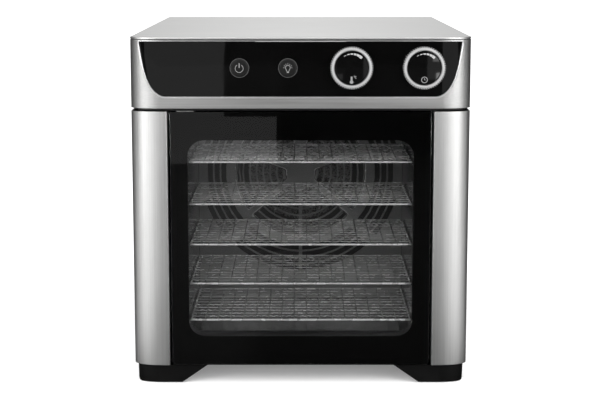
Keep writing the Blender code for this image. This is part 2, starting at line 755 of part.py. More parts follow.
def build_door_frame():
    outline = rectangle(-DOOR_HALF_W, DOOR_HALF_W, DOOR_FRAME_BOTTOM_Z, DOOR_FRAME_TOP_Z)
    opening = rounded_rectangle(-DOOR_OPENING_HALF, DOOR_OPENING_HALF, DOOR_OPENING_BOTTOM_Z,
                                DOOR_OPENING_TOP_Z, 0.020)
    shape = plate(outline, [opening], "XZ", DOOR_FRAME_FRONT_Y, DOOR_FRAME_BACK_Y)
    for low, high in ((DOOR_FRAME_BOTTOM_Z - 0.01, 0.0320), (0.2712, DOOR_FRAME_TOP_Z + 0.01)):
        bore = plate(circle(HINGE_X, HINGE_Y, HINGE_PIN_R + GAP, 16), [], "XY", low, high)
        shape = combine(shape, bore, "DIFFERENCE")
    finish("door_frame", shape, black_plastic("door_frame_black"), (HINGE_X, HINGE_Y, 0.15))


def build_door_inner_glass():
    reach = DOOR_OPENING_HALF - 0.0005
    outline = rounded_rectangle(-reach, reach, DOOR_OPENING_BOTTOM_Z + 0.0005,
                                DOOR_OPENING_TOP_Z - 0.0005, 0.0195)
    shape = plate(outline, [], "XZ", -0.2100, -0.2070)
    finish("door_inner_glass", shape, clear_glass("inner_glass_clear"), (HINGE_X, HINGE_Y, 0.15))


def build_door_gasket():
    outer = rounded_rectangle(-0.1230, 0.1230, 0.0415, 0.2620, 0.021)
    inner = rounded_rectangle(-0.1190, 0.1190, 0.0455, 0.2580, 0.018)
    shape = plate(outer, [inner], "XZ", DOOR_FRAME_BACK_Y + GAP, MOUTH_Y - 0.0004)
    finish("door_gasket", shape, grey_rubber("door_gasket_rubber"), (HINGE_X, HINGE_Y, 0.15))


def build_door_strike(name, z):
    shape = box(0.1250, 0.1310, DOOR_FRAME_BACK_Y + GAP, DOOR_FRAME_BACK_Y + 0.0013,
                z - 0.012, z + 0.012)
    finish(name, shape, plain_steel(name + "_steel"), (HINGE_X, HINGE_Y, 0.15))


def build_catch_magnet(name, z):
    low = MOUTH_Y + SHEET + GAP
    shape = box(0.1222, 0.1335, low, low + 0.006, z - 0.011, z + 0.011)
    finish(name, shape, grey_rubber(name + "_ferrite"))


def build_hinge_plate(name, low, high, pin_low, pin_high):
    # Arm that reaches forward behind the glass and carries the fixed pivot pin.
    outline = rounded_rectangle(HINGE_X - 0.0016, -0.1080, HINGE_Y - 0.0019, -0.1700, 0.0012, 2)
    shape = plate(outline, [], "XY", low, high)
    pin = plate(circle(HINGE_X, HINGE_Y, HINGE_PIN_R, 16), [], "XY", pin_low, pin_high)
    shape = combine(shape, pin, "UNION")
    finish(name, shape, plain_steel(name + "_steel"))


# Feet
def build_foot(name, side, end):
    # Block with a sloped inner side; it follows the swept corner of the body.
    outline = [(FOOT_ROOT_X, FOOT_TOP_Z), (FOOT_FLAT_X, FOOT_BOTTOM_Z)]
    for step in range(4):
        angle = math.radians(-90 + 30 * step)
        centre = (FOOT_OUTER_X - 0.0035, FOOT_BOTTOM_Z + 0.003)
        outline.append((centre[0] + 0.003 * math.cos(angle), centre[1] + 0.003 * math.sin(angle)))
    outline.append((FOOT_OUTER_X, FOOT_TOP_Z))
    low = FOOT_FRONT_Y if end < 0 else BACK_Y - 0.003 - FOOT_LENGTH
    shape = plate(outline, [], "XZ", low, low + FOOT_LENGTH)
    if end < 0:
        cookie = plate(plan_outline(0.003, 0.0), [], "XY", -0.01, 0.03)
        shape = combine(shape, cookie, "INTERSECT")
    centre_y = low + FOOT_LENGTH / 2
    recess = plate(circle(0.1440, centre_y, PAD_R + GAP, 28), [], "XY", -0.01, 0.0028)
    shape = combine(shape, recess, "DIFFERENCE")
    if side < 0:
        bmesh.ops.transform(shape, matrix=Matrix.Scale(-1, 4, (1, 0, 0)), verts=shape.verts)
    finish(name, shape, black_plastic(name + "_black"))


def build_foot_pad(name, side, end):
    low = FOOT_FRONT_Y if end < 0 else BACK_Y - 0.003 - FOOT_LENGTH
    centre_y = low + FOOT_LENGTH / 2
    shape = plate(circle(side * 0.1440, centre_y, PAD_R, 28), [], "XY", 0.0, 0.0025)
    finish(name, shape, grey_rubber(name + "_rubber"))


def build_cabinet():
    build_base_pan()
    build_side_panel("side_panel_left", -1)
    build_side_panel("side_panel_right", 1)
    build_rear_cover()
    build_cord_gland()
    build_top_cover()
    build_head_bezel()
    build_control_panel()
    build_head_floor()
    build_front_frame()
    build_pillar("pillar_left", -1)
    build_pillar("pillar_right", 1)


def build_chamber():
    build_chamber_wall("chamber_wall_left", -1)
    build_chamber_wall("chamber_wall_right", 1)
    build_chamber_sheet("chamber_floor", CHAMBER_FLOOR_Z - SHEET - GAP)
    build_chamber_sheet("chamber_ceiling", CHAMBER_TOP_Z + GAP)
    build_back_baffle()
    build_tray_rack("tray_rack_left", -1)
    build_tray_rack("tray_rack_right", 1)
    for key, height in SHELF_HEIGHTS.items():
        build_tray("tray_" + key, height)
    build_lamp_cover()


def build_air_system():
    build_fan_impeller()
    build_fan_shaft()
    build_fan_motor()
    build_motor_plate()
    build_heater_ring()
    build_thermostat()


def build_controls():
    build_control_board()
    for label, x in (("left", LEFT_RING_X), ("right", RIGHT_RING_X)):
        build_knob_ring("knob_ring_" + label, x)
        build_knob_face("knob_face_" + label, x)
        build_display_module("display_module_" + label, x)
    for label, x in (("power", POWER_X), ("light", LIGHT_X)):
        build_button("button_" + label, x)
        build_button_switch("switch_" + label, x)


def build_door():
    build_door_glass()
    build_door_frame()
    build_door_inner_glass()
    build_door_gasket()
    for label, z in (("lower", 0.075), ("upper", 0.228)):
        build_door_strike("door_strike_" + label, z)
        build_catch_magnet("catch_magnet_" + label, z)
    build_hinge_plate("hinge_plate_lower", 0.0208, 0.0222, 0.0215, 0.0300)
    build_hinge_plate("hinge_plate_upper", 0.2810, 0.2837, 0.2730, 0.2820)


def build_feet():
    for end_label, end in (("front", -1), ("rear", 1)):
        for side_label, side in (("left", -1), ("right", 1)):
            build_foot("foot_" + end_label + "_" + side_label, side, end)
            build_foot_pad("foot_pad_" + end_label + "_" + side_label, side, end)


clear_scene()
build_cabinet()
build_chamber()
build_air_system()
build_controls()
build_door()
build_feet()
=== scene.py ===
import json
import math
import bmesh
import bpy
from mathutils import Matrix, Vector


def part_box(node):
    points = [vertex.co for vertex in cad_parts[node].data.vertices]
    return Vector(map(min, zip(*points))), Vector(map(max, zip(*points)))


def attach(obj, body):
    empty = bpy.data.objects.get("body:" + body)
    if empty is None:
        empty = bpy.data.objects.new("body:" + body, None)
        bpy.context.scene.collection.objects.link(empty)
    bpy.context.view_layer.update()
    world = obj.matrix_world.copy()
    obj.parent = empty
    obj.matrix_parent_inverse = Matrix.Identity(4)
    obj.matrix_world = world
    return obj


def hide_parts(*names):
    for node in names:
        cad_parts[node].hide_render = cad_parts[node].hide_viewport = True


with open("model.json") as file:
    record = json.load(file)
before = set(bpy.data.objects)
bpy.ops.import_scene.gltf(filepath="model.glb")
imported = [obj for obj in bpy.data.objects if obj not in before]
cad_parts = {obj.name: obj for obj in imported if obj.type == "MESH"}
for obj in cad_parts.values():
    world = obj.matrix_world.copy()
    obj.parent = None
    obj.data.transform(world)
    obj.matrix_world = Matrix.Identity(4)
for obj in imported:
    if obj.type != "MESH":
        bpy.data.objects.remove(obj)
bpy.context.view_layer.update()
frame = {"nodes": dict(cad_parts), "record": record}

# Food dehydrator: glass door, five wire trays, a fan grille at the back and two knurled knobs.
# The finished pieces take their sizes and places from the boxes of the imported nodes.
print("frame loaded:", len(frame["nodes"]), "nodes")

bodyOf = {}
for bodyName, nodeNames in frame["record"]["behaviour"]["bodies"].items():
    for nodeName in nodeNames:
        bodyOf[nodeName] = bodyName


# Small helpers for the node materials
def makeGroup(name, inputs, outputs):
    tree = bpy.data.node_groups.new(name, "ShaderNodeTree")
    for label, kind, value in inputs:
        socket = tree.interface.new_socket(name=label, in_out="INPUT", socket_type="NodeSocket" + kind)
        if value is not None:
            socket.default_value = value
    for label, kind in outputs:
        tree.interface.new_socket(name=label, in_out="OUTPUT", socket_type="NodeSocket" + kind)
    entry = tree.nodes.new("NodeGroupInput")
    leave = tree.nodes.new("NodeGroupOutput")
    return tree, entry, leave


def addNode(tree, kind, settings=None, values=None):
    node = tree.nodes.new(kind)
    for key, value in (settings or {}).items():
        setattr(node, key, value)
    for key, value in (values or {}).items():
        node.inputs[key].default_value = value
    return node


def joined(tree, kind, sources, values=None, settings=None):
    # A new node whose inputs already take what the given sockets send
    node = addNode(tree, kind, settings, values)
    for key, source in sources.items():
        tree.links.new(source, node.inputs[key])
    return node


def mathNode(tree, operation, first, second=None):
    node = addNode(tree, "ShaderNodeMath", {"operation": operation})
    for slotIndex, value in enumerate((first, second)):
        if isinstance(value, (int, float)):
            node.inputs[slotIndex].default_value = value
        elif value is not None:
            tree.links.new(value, node.inputs[slotIndex])
    return node.outputs[0]


def mapRange(tree, value, fromLow, fromHigh, toLow=0.0, toHigh=1.0):
    limits = {1: fromLow, 2: fromHigh, 3: toLow, 4: toHigh}
    return joined(tree, "ShaderNodeMapRange", {0: value}, limits).outputs[0]


def mixColour(tree, share, first, second):
    node = addNode(tree, "ShaderNodeMix", {"data_type": "RGBA"})
    tree.links.new(share, node.inputs[0])
    for slotIndex, value in ((6, first), (7, second)):  # the colour pair among the node's inputs
        if isinstance(value, tuple):
            node.inputs[slotIndex].default_value = value
        else:
            tree.links.new(value, node.inputs[slotIndex])
    return node.outputs[2]


def noise(tree, vector, scale, detail=3.0, roughness=0.5):
    return joined(tree, "ShaderNodeTexNoise", {"Vector": vector},
                  {"Scale": scale, "Detail": detail, "Roughness": roughness}).outputs["Fac"]


# Long fine scratches from a belt; the vector comes in already stretched along the brush
def brushGroup():
    tree, entry, leave = makeGroup(
        "brushedGrain",
        [("Vector", "Vector", None)],
        [("Shade", "Float"), ("Rough", "Float"), ("Height", "Float")])
    fine = noise(tree, entry.outputs[0], 1.0, 4.0, 0.7)
    broad = noise(tree, entry.outputs[0], 0.13, 2.0, 0.5)
    both = mathNode(tree, "ADD", mathNode(tree, "MULTIPLY", fine, 0.7),
                    mathNode(tree, "MULTIPLY", broad, 0.3))
    tree.links.new(mapRange(tree, both, 0.3, 0.7), leave.inputs["Shade"])
    tree.links.new(mapRange(tree, fine, 0.3, 0.7), leave.inputs["Rough"])
    tree.links.new(both, leave.inputs["Height"])
    return tree


# Soft clouds left by handling and wiping
def hazeGroup():
    tree, entry, leave = makeGroup(
        "handlingHaze",
        [("Vector", "Vector", None), ("Size", "Float", 14.0)],
        [("Haze", "Float")])
    node = joined(tree, "ShaderNodeTexNoise", {"Vector": entry.outputs[0], "Scale": entry.outputs[1]},
                  {"Detail": 4.0, "Roughness": 0.55, "Distortion": 0.6})
    tree.links.new(mapRange(tree, node.outputs["Fac"], 0.35, 0.68), leave.inputs["Haze"])
    return tree


# Moulded plastic skin: tiny cells, and a mask that is high on sharp outer edges, where the colour is
# made lighter
def skinGroup():
    tree, entry, leave = makeGroup(
        "mouldedSkin",
        [("Vector", "Vector", None), ("Cells", "Float", 1600.0)],
        [("Height", "Float"), ("Edge", "Float")])
    cells = joined(tree, "ShaderNodeTexVoronoi", {"Vector": entry.outputs[0],
                                                  "Scale": entry.outputs[1]}, None, {"feature": "F1"})
    tree.links.new(cells.outputs["Distance"], leave.inputs["Height"])
    shape = addNode(tree, "ShaderNodeNewGeometry")
    tree.links.new(mapRange(tree, shape.outputs["Pointiness"], 0.51, 0.60), leave.inputs["Edge"])
    return tree


# Dark and light patches of heat and dust on inner metal
def agedGroup():
    tree, entry, leave = makeGroup(
        "rolledSheet",
        [("Vector", "Vector", None)],
        [("Patch", "Float"), ("Fleck", "Float"), ("Height", "Float")])
    patch = noise(tree, entry.outputs[0], 9.0, 5.0, 0.6)
    fleck = noise(tree, entry.outputs[0], 420.0, 2.0, 0.6)
    tree.links.new(mapRange(tree, patch, 0.35, 0.65), leave.inputs["Patch"])
    tree.links.new(mapRange(tree, fleck, 0.4, 0.7), leave.inputs["Fleck"])
    tree.links.new(mathNode(tree, "ADD", patch, mathNode(tree, "MULTIPLY", fleck, 0.12)),
                   leave.inputs["Height"])
    return tree


groups = {"brush": brushGroup(), "haze": hazeGroup(), "skin": skinGroup(), "aged": agedGroup()}


def startMaterial(name):
    material = bpy.data.materials.new(name)
    material.use_nodes = True
    tree = material.node_tree
    shader = tree.nodes["Principled BSDF"]
    place = addNode(tree, "ShaderNodeTexCoord")
    return material, tree, shader, place.outputs["Object"]


def useGroup(tree, key, vector, values=None):
    return joined(tree, "ShaderNodeGroup", {"Vector": vector}, values, {"node_tree": groups[key]})


def hazeOf(tree, vector, size):
    return useGroup(tree, "haze", vector, {"Size": size}).outputs[0]


def stretched(tree, vector, scale):
    return joined(tree, "ShaderNodeMapping", {"Vector": vector}, {"Scale": scale}).outputs[0]


def addBump(tree, shader, height, strength, distance):
    bump = joined(tree, "ShaderNodeBump", {"Height": height},
                  {"Strength": strength, "Distance": distance})
    tree.links.new(bump.outputs[0], shader.inputs["Normal"])


def setTint(tree, shader, share, first, second):
    tree.links.new(mixColour(tree, share, first, second), shader.inputs["Base Color"])


def setRough(tree, shader, share, low, high):
    tree.links.new(mapRange(tree, share, 0.0, 1.0, low, high), shader.inputs["Roughness"])


def grey(level):
    return (level, level, level, 1.0)


def tone(red, green, blue):
    return (red, green, blue, 1.0)


# Brushed steel, with the brush running along the axis whose scale is small
def brushedSteel(name, scale, dark=0.55, light=0.67, low=0.36, high=0.48):
    material, tree, shader, where = startMaterial(name)
    brush = useGroup(tree, "brush", stretched(tree, where, scale))
    haze = hazeOf(tree, where, 9.0)
    setTint(tree, shader, brush.outputs["Shade"], tone(dark, dark, dark * 0.99),
            tone(light, light, light * 0.99))
    base = mapRange(tree, brush.outputs["Rough"], 0.0, 1.0, low, high)
    rough = mathNode(tree, "ADD", base, mathNode(tree, "MULTIPLY", haze, 0.035))
    tree.links.new(rough, shader.inputs["Roughness"])
    shader.inputs["Metallic"].default_value = 1.0
    addBump(tree, shader, brush.outputs["Height"], 0.14, 0.0001)
    return material


def sheetMetal(name, dark, light, low=0.28, high=0.45, bump=0.12):
    material, tree, shader, where = startMaterial(name)
    aged = useGroup(tree, "aged", where)
    setTint(tree, shader, aged.outputs["Patch"], grey(dark), grey(light))
    setRough(tree, shader, aged.outputs["Fleck"], low, high)
    shader.inputs["Metallic"].default_value = 1.0
    addBump(tree, shader, aged.outputs["Height"], bump, 0.0002)
    return material


def polishedMetal(name, level, low=0.06, high=0.16, metal=1.0):
    material, tree, shader, where = startMaterial(name)
    haze = hazeOf(tree, where, 60.0)
    setTint(tree, shader, haze, grey(level), grey(level * 0.88))
    setRough(tree, shader, haze, low, high)
    shader.inputs["Metallic"].default_value = metal
    return material


def glossBlack(name, level=0.0012, low=0.015, high=0.05, shine=0.5):
    material, tree, shader, where = startMaterial(name)
    haze = hazeOf(tree, where, 18.0)
    setTint(tree, shader, haze, grey(level), grey(level * 1.35))
    setRough(tree, shader, haze, low, high)
    shader.inputs["Specular IOR Level"].default_value = shine
    return material


def mouldedPlastic(name, level=0.006, low=0.38, high=0.52, edge=1.9, shine=0.4):
    material, tree, shader, where = startMaterial(name)
    skin = useGroup(tree, "skin", where)
    haze = hazeOf(tree, where, 22.0)
    setTint(tree, shader, skin.outputs["Edge"], grey(level), grey(level * edge))
    setRough(tree, shader, haze, low, high)
    addBump(tree, shader, skin.outputs["Height"], 0.18, 0.0001)
    shader.inputs["Specular IOR Level"].default_value = shine
    return material


def rubberSkin(name):
    material, tree, shader, where = startMaterial(name)
    skin = useGroup(tree, "skin", where, {"Cells": 2600.0})
    haze = hazeOf(tree, where, 40.0)
    setTint(tree, shader, haze, grey(0.018), grey(0.034))
    setRough(tree, shader, haze, 0.68, 0.86)
    addBump(tree, shader, skin.outputs["Height"], 0.25, 0.0001)
    return material


def clearGlass(name, level, low=0.0, high=0.02):
    material, tree, shader, where = startMaterial(name)
    haze = hazeOf(tree, where, 11.0)
    setTint(tree, shader, haze, grey(level), tone(level * 0.985, level * 0.99, level * 0.99))
    setRough(tree, shader, haze, low, high)
    shader.inputs["Transmission Weight"].default_value = 1.0
    shader.inputs["IOR"].default_value = 1.5
    return material


def printInk(name, level):
    material, tree, shader, where = startMaterial(name)
    speck = noise(tree, where, 900.0, 2.0, 0.6)
    setTint(tree, shader, mapRange(tree, speck, 0.4, 0.6), grey(level * 0.9), grey(level))
    tree.links.new(mapRange(tree, speck, 0.4, 0.6, 0.35, 0.5), shader.inputs["Roughness"])
    return material


def boardLacquer(name):
    material, tree, shader, where = startMaterial(name)
    track = joined(tree, "ShaderNodeTexBrick", {"Vector": where},
                   {"Scale": 140.0, "Mortar Size": 0.06, "Color1": tone(0.010, 0.075, 0.035),
                    "Color2": tone(0.012, 0.090, 0.040), "Mortar": tone(0.030, 0.150, 0.070)})
    tree.links.new(track.outputs["Color"], shader.inputs["Base Color"])
    haze = hazeOf(tree, where, 50.0)
    setRough(tree, shader, haze, 0.25, 0.4)
    return material


skin = {
    "head": brushedSteel("steelHead", (6.0, 900.0, 900.0), 0.40, 0.54, 0.32, 0.44),
    "pillar": brushedSteel("steelPillar", (900.0, 900.0, 5.0), 0.52, 0.66, 0.31, 0.43),
    "top": brushedSteel("steelTop", (6.0, 900.0, 900.0), 0.60, 0.72),
    "side": brushedSteel("steelSide", (900.0, 900.0, 6.0), 0.50, 0.62),
    "trim": polishedMetal("silverTrim", 0.82, 0.28, 0.36),
    "chamber": sheetMetal("chamberSheet", 0.34, 0.40, 0.12, 0.20, 0.015),
    "baffle": sheetMetal("baffleSheet", 0.31, 0.37, 0.28, 0.38, 0.02),
    # Near-black sheet as painted shade: the dark space behind the baffle slots on the motor plate, and
    # the dark bead lines on the baffle
    "plenum": sheetMetal("paintedShadeSheet", 0.05, 0.09, 0.35, 0.55),
    "galvanised": sheetMetal("galvanisedSheet", 0.36, 0.50, 0.32, 0.50),
    "motor": sheetMetal("motorCan", 0.30, 0.42, 0.34, 0.55),
    "heater": sheetMetal("heaterSheath", 0.07, 0.14, 0.30, 0.50),
    # Rods: a dark copy of the tray wire steel, as painted shade under the cross wires
    "rod": polishedMetal("trayRod", 0.22, 0.25, 0.35, 0.8),
    "wire": polishedMetal("trayWire", 0.88, 0.22, 0.32, 0.55),
    "ring": polishedMetal("ringSatin", 0.42, 0.30, 0.42, 0.5),
    "shaft": polishedMetal("shaftSteel", 0.70, 0.14, 0.24),
    "panel": glossBlack("panelGloss"),
    "face": glossBlack("faceGloss", 0.0016, 0.03, 0.07),
    "enamel": glossBlack("glassEnamel", 0.0008, 0.25, 0.35, 0.0),
    "plastic": mouldedPlastic("blackPlastic"),
    "footPlastic": mouldedPlastic("footPlastic", 0.0018, 0.30, 0.42, 1.9, 0.14),
    "rubber": rubberSkin("softRubber"),
    "doorGlass": clearGlass("doorGlass", 0.86),
    "innerGlass": clearGlass("innerGlass", 0.95),
    "lens": clearGlass("lampLens", 0.93, 0.12, 0.25),
    "ink": printInk("lightInk", 0.30),
    "iconInk": printInk("iconInk", 0.17),
    "dimInk": printInk("dimInk", 0.075),
    "cap": mouldedPlastic("capSatin", 0.004, 0.30, 0.40, 1.5, 0.3),
    "board": boardLacquer("boardLacquer"),
    # Fan: a grey sheet, partly its own tone and partly painted shade behind the baffle
    "fan": sheetMetal("fanSheetAndShade", 0.20, 0.28, 0.24, 0.36, 0.05),
}
print("materials made:", len(skin))


# Small helpers for the meshes; a plate is drawn as (u, v) on the XY, XZ or YZ plane
def mapPoint(u, v, w, plane):
    if plane == "XY":
        return (u, v, w)
    if plane == "XZ":
        return (u, w, v)
    return (w, u, v)


def flatPlate(outline, holes, plane, low, high):
    shape = bmesh.new()
    edges = []
    for loop in [outline] + list(holes):
        verts = [shape.verts.new(mapPoint(u, v, low, plane)) for u, v in loop]
        for index, vert in enumerate(verts):
            edges.append(shape.edges.new((vert, verts[(index + 1) % len(verts)])))
    bmesh.ops.triangle_fill(shape, use_beauty=True, edges=edges)
    grown = bmesh.ops.extrude_face_region(shape, geom=shape.faces[:])
    moved = [part for part in grown["geom"] if isinstance(part, bmesh.types.BMVert)]
    bmesh.ops.translate(shape, vec=mapPoint(0.0, 0.0, high - low, plane), verts=moved)
    return shape


def roundedLoop(u0, u1, v0, v1, radius, steps=8):
    points = []
    corners = [(u1 - radius, v0 + radius, -90), (u1 - radius, v1 - radius, 0)]
    corners += [(u0 + radius, v1 - radius, 90), (u0 + radius, v0 + radius, 180)]
    for cu, cv, start in corners:
        for step in range(steps + 1):
            angle = math.radians(start + 90 * step / steps)
            points.append((cu + radius * math.cos(angle), cv + radius * math.sin(angle)))
    return points


def circleLoop(cu, cv, radius, count):
    return [(cu + radius * math.cos(2 * math.pi * i / count),
             cv + radius * math.sin(2 * math.pi * i / count)) for i in range(count)]


def turnedY(profile, x, z, count):
    # Revolves (radius, y) pairs about an axis along Y; a closed ring where it doesn't reach it
    shape = bmesh.new()
    rows = []
    for radius, y in profile:
        if radius <= 0.0:
            rows.append([shape.verts.new((x, y, z))])
            continue
        rows.append([shape.verts.new((x + radius * math.cos(2 * math.pi * i / count), y,
                                      z + radius * math.sin(2 * math.pi * i / count)))
                     for i in range(count)])
    pairs = list(zip(rows, rows[1:]))
    if profile[0][0] > 0.0:
        pairs.append((rows[-1], rows[0]))
    for first, second in pairs:
        for i in range(count):
            j = (i + 1) % count
            if len(first) == 1:
                shape.faces.new((first[0], second[i], second[j]))
            elif len(second) == 1:
                shape.faces.new((first[i], second[0], first[j]))
            else:
                shape.faces.new((first[i], second[i], second[j], first[j]))
    return shape


def sweptTube(path, radius, count, closed=False):
    shape = bmesh.new()
    points = [Vector(point) for point in path]
    total = len(points)
    rows = []
    side = None
    for index, point in enumerate(points):
        if closed:
            before, after = points[index - 1], points[(index + 1) % total]
        else:
            before, after = points[max(index - 1, 0)], points[min(index + 1, total - 1)]
        along = (after - before).normalized()
        if side is None:
            side = along.orthogonal().normalized()
        side = (side - along * side.dot(along)).normalized()
        other = along.cross(side)
        rows.append([shape.verts.new(point + side * math.cos(2 * math.pi * s / count) * radius
                                     + other * math.sin(2 * math.pi * s / count) * radius)
                     for s in range(count)])
    pairs = list(zip(rows, rows[1:]))
    if closed:
        pairs.append((rows[-1], rows[0]))
    for first, second in pairs:
        for s in range(count):
            t = (s + 1) % count
            shape.faces.new((first[s], first[t], second[t], second[s]))
    if not closed:
        shape.faces.new(rows[0][::-1])
        shape.faces.new(rows[-1])
    return shape


def plates(shapes):
    # Joins several meshes into one
    whole = bmesh.new()
    for shape in shapes:
        holder = bpy.data.meshes.new("part")
        shape.to_mesh(holder)
        shape.free()
        whole.from_mesh(holder)
        bpy.data.meshes.remove(holder)
    return whole


def roundEdges(shape, width, segments=2, angle=28.0):
    bmesh.ops.remove_doubles(shape, verts=shape.verts, dist=0.000002)
    bmesh.ops.dissolve_limit(shape, angle_limit=math.radians(0.4), verts=shape.verts,
                             edges=shape.edges, delimit={"NORMAL"})
    if width > 0.0:
        sharp = [edge for edge in shape.edges if len(edge.link_faces) == 2
                 and edge.calc_face_angle(0.0) > math.radians(angle)]
        bmesh.ops.bevel(shape, geom=sharp, offset=width, segments=segments, affect="EDGES",
                        profile=0.5, clamp_overlap=True)


def settleNormals(piece):
    # Wide flat faces keep their own normal, and the rounded edges take up the turn
    modifier = piece.modifiers.new("weight", "WEIGHTED_NORMAL")
    modifier.mode = "FACE_AREA"
    modifier.weight = 100
    modifier.keep_sharp = True
    graph = bpy.context.evaluated_depsgraph_get()
    settled = bpy.data.meshes.new_from_object(piece.evaluated_get(graph))
    old = piece.data
    piece.modifiers.remove(modifier)
    piece.data = settled
    bpy.data.meshes.remove(old)
    settled.name = piece.name


def addPiece(name, shape, body, material, replaced=(), smooth=32.0):
    bmesh.ops.remove_doubles(shape, verts=shape.verts, dist=0.0000005)
    bmesh.ops.recalc_face_normals(shape, faces=shape.faces)
    limit = math.radians(smooth)
    for face in shape.faces:
        face.smooth = True
    for edge in shape.edges:
        if len(edge.link_faces) == 2:
            edge.smooth = edge.calc_face_angle(0.0) < limit
    mesh = bpy.data.meshes.new(name)
    shape.to_mesh(mesh)
    shape.free()
    mesh.materials.append(material)
    piece = bpy.data.objects.new(name, mesh)
    bpy.context.scene.collection.objects.link(piece)
    settleNormals(piece)
    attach(piece, body)
    if replaced:
        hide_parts(*replaced)
    return piece


def camelName(node):
    words = node.split("_")
    return words[0] + "".join(word.capitalize() for word in words[1:])


def carryOver(node, material, edgeWidth=0.0004, segments=2):
    # The CAD piece itself, with its seams closed and its edges rounded
    shape = bmesh.new()
    shape.from_mesh(frame["nodes"][node].data)
    roundEdges(shape, edgeWidth, segments)
    return addPiece(camelName(node), shape, bodyOf[node], material, [node])


# Edge widths on the cabinet, in metres
cabinetLook = {
    "sheetEdge": 0.0003,
    "headEdge": 0.0007,
    "pillarEdge": 0.0006,
    "footEdge": 0.0012,
}


def makeCabinet():
    carryOver("top_cover", skin["top"], 0.0002, 1)
    carryOver("head_bezel", skin["head"], cabinetLook["headEdge"])
    carryOver("head_floor", skin["plastic"], cabinetLook["sheetEdge"])
    for side in ("left", "right"):
        carryOver("pillar_" + side, skin["pillar"], cabinetLook["pillarEdge"])
        carryOver("side_panel_" + side, skin["side"], cabinetLook["sheetEdge"])
    carryOver("rear_cover", skin["galvanised"], cabinetLook["sheetEdge"])
    carryOver("base_pan", skin["galvanised"], cabinetLook["sheetEdge"])
    carryOver("cord_gland", skin["plastic"], 0.0004)
    carryOver("front_frame", skin["plastic"], cabinetLook["sheetEdge"])
    for end in ("front", "rear"):
        for side in ("left", "right"):
            carryOver("foot_" + end + "_" + side, skin["footPlastic"], cabinetLook["footEdge"], 3)
            carryOver("foot_pad_" + end + "_" + side, skin["rubber"], 0.0004)
    print("cabinet done")


makeCabinet()


# Raised beads round the sectors of the fan grille, a bright painted highlight line with a dark painted
# shade line just inside it; an arm is its angle and its half width
grilleLook = {
    "arms": [(-39, 0.0048), (20, 0.0040), (90, 0.0090), (160, 0.0040), (219, 0.0048), (321, 0.0048)],
    "innerRadius": 0.0166,
    "outerRadius": 0.0756,
    "beadInset": 0.0016,
    "beadRadius": 0.0006,
    "cornerRadius": 0.0045,
    "leastOffset": 0.0002,
    "stepLength": 0.006,
    "shadeInset": 0.6,
    "shadeRadius": 0.7,
}


def roundedPath(corners, radius, steps=5):
    # Replaces each sharp corner of a closed path with a short curve
    total = len(corners)
    path = []
    for index, corner in enumerate(corners):
        here = Vector(corner)
        before, after = Vector(corners[index - 1]), Vector(corners[(index + 1) % total])
        turn = (here - before).angle(after - here)
        if turn < math.radians(25):
            path.append(here)
            continue
        reach = min(radius, (before - here).length * 0.45, (after - here).length * 0.45)
        start = here + (before - here).normalized() * reach
        stop = here + (after - here).normalized() * reach
        for step in range(steps + 1):
            t = step / steps
            path.append(start * (1 - t) ** 2 + here * 2 * t * (1 - t) + stop * t ** 2)
    return path


def baffleBeads(inset, thick):
    arms = grilleLook["arms"]
    low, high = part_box("fan_shaft")
    centreZ = (low[2] + high[2]) / 2
    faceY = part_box("back_baffle")[0][1]
    shapes = []
    for (start, startHalf), (stop, stopHalf) in zip(arms, arms[1:]):
        corners = []
        for radius, forward in ((grilleLook["innerRadius"] + inset, True),
                                (grilleLook["outerRadius"] - inset, False)):
            shift = inset - grilleLook["beadInset"]
            startOff = max(startHalf + shift, grilleLook["leastOffset"])
            stopOff = max(stopHalf + shift, grilleLook["leastOffset"])
            first = math.radians(start) + math.asin(startOff / radius)
            last = math.radians(stop) - math.asin(stopOff / radius)
            steps = max(2, round((last - first) * radius / grilleLook["stepLength"]))
            line = [first + (last - first) * step / steps for step in range(steps + 1)]
            for angle in (line if forward else line[::-1]):
                corners.append((radius * math.cos(angle), faceY, centreZ + radius * math.sin(angle)))
        path = roundedPath(corners, grilleLook["cornerRadius"])
        shapes.append(sweptTube(path, thick, 8, True))
    return plates(shapes)


def makeChamber():
    for node in ("chamber_wall_left", "chamber_wall_right", "chamber_floor", "chamber_ceiling"):
        carryOver(node, skin["chamber"], 0.0002, 1)
    carryOver("back_baffle", skin["baffle"], 0.0, 1)
    # The bead takes the bright wire steel as a painted highlight; the thinner copy set inward takes the
    # dark sheet as a painted shade line
    beads = baffleBeads(0.0, grilleLook["beadRadius"])
    addPiece("baffleBeads", beads, "cabinet", skin["wire"], smooth=60)
    shade = baffleBeads(grilleLook["beadInset"] * grilleLook["shadeInset"],
                        grilleLook["beadRadius"] * grilleLook["shadeRadius"])
    addPiece("baffleBeadShade", shade, "cabinet", skin["plenum"], smooth=60)
    for side in ("left", "right"):
        carryOver("tray_rack_" + side, skin["chamber"], 0.0002, 1)
    carryOver("lamp_cover", skin["lens"], 0.0003)
    print("chamber done")


makeChamber()


# Wire sizes and spacing on the trays
trayLook = {
    "frontWireRadius": 0.00122,
    "frontWireInset": 0.0008,
    "frontWireStop": 0.0006,
    "frameRadius": 0.00075,
    "frameDrop": 0.0005,
    "sideInset": 0.0014,
    "frontInset": 0.0022,
    "rearInset": 0.0010,
    "cornerRadius": 0.0030,
    "crossRadius": 0.00048,
    "crossPitch": 0.01250,
    "crossMargin": 0.008,
    "crossTrim": 0.003,
    "crossLift": 0.0001,
    "waveLength": 0.0067,
    "waveHeight": 0.00036,
    "rodRadius": 0.00050,
    "rodPitch": 0.01335,
    "rodMargin": 0.010,
    "rodTrim": 0.0025,
}


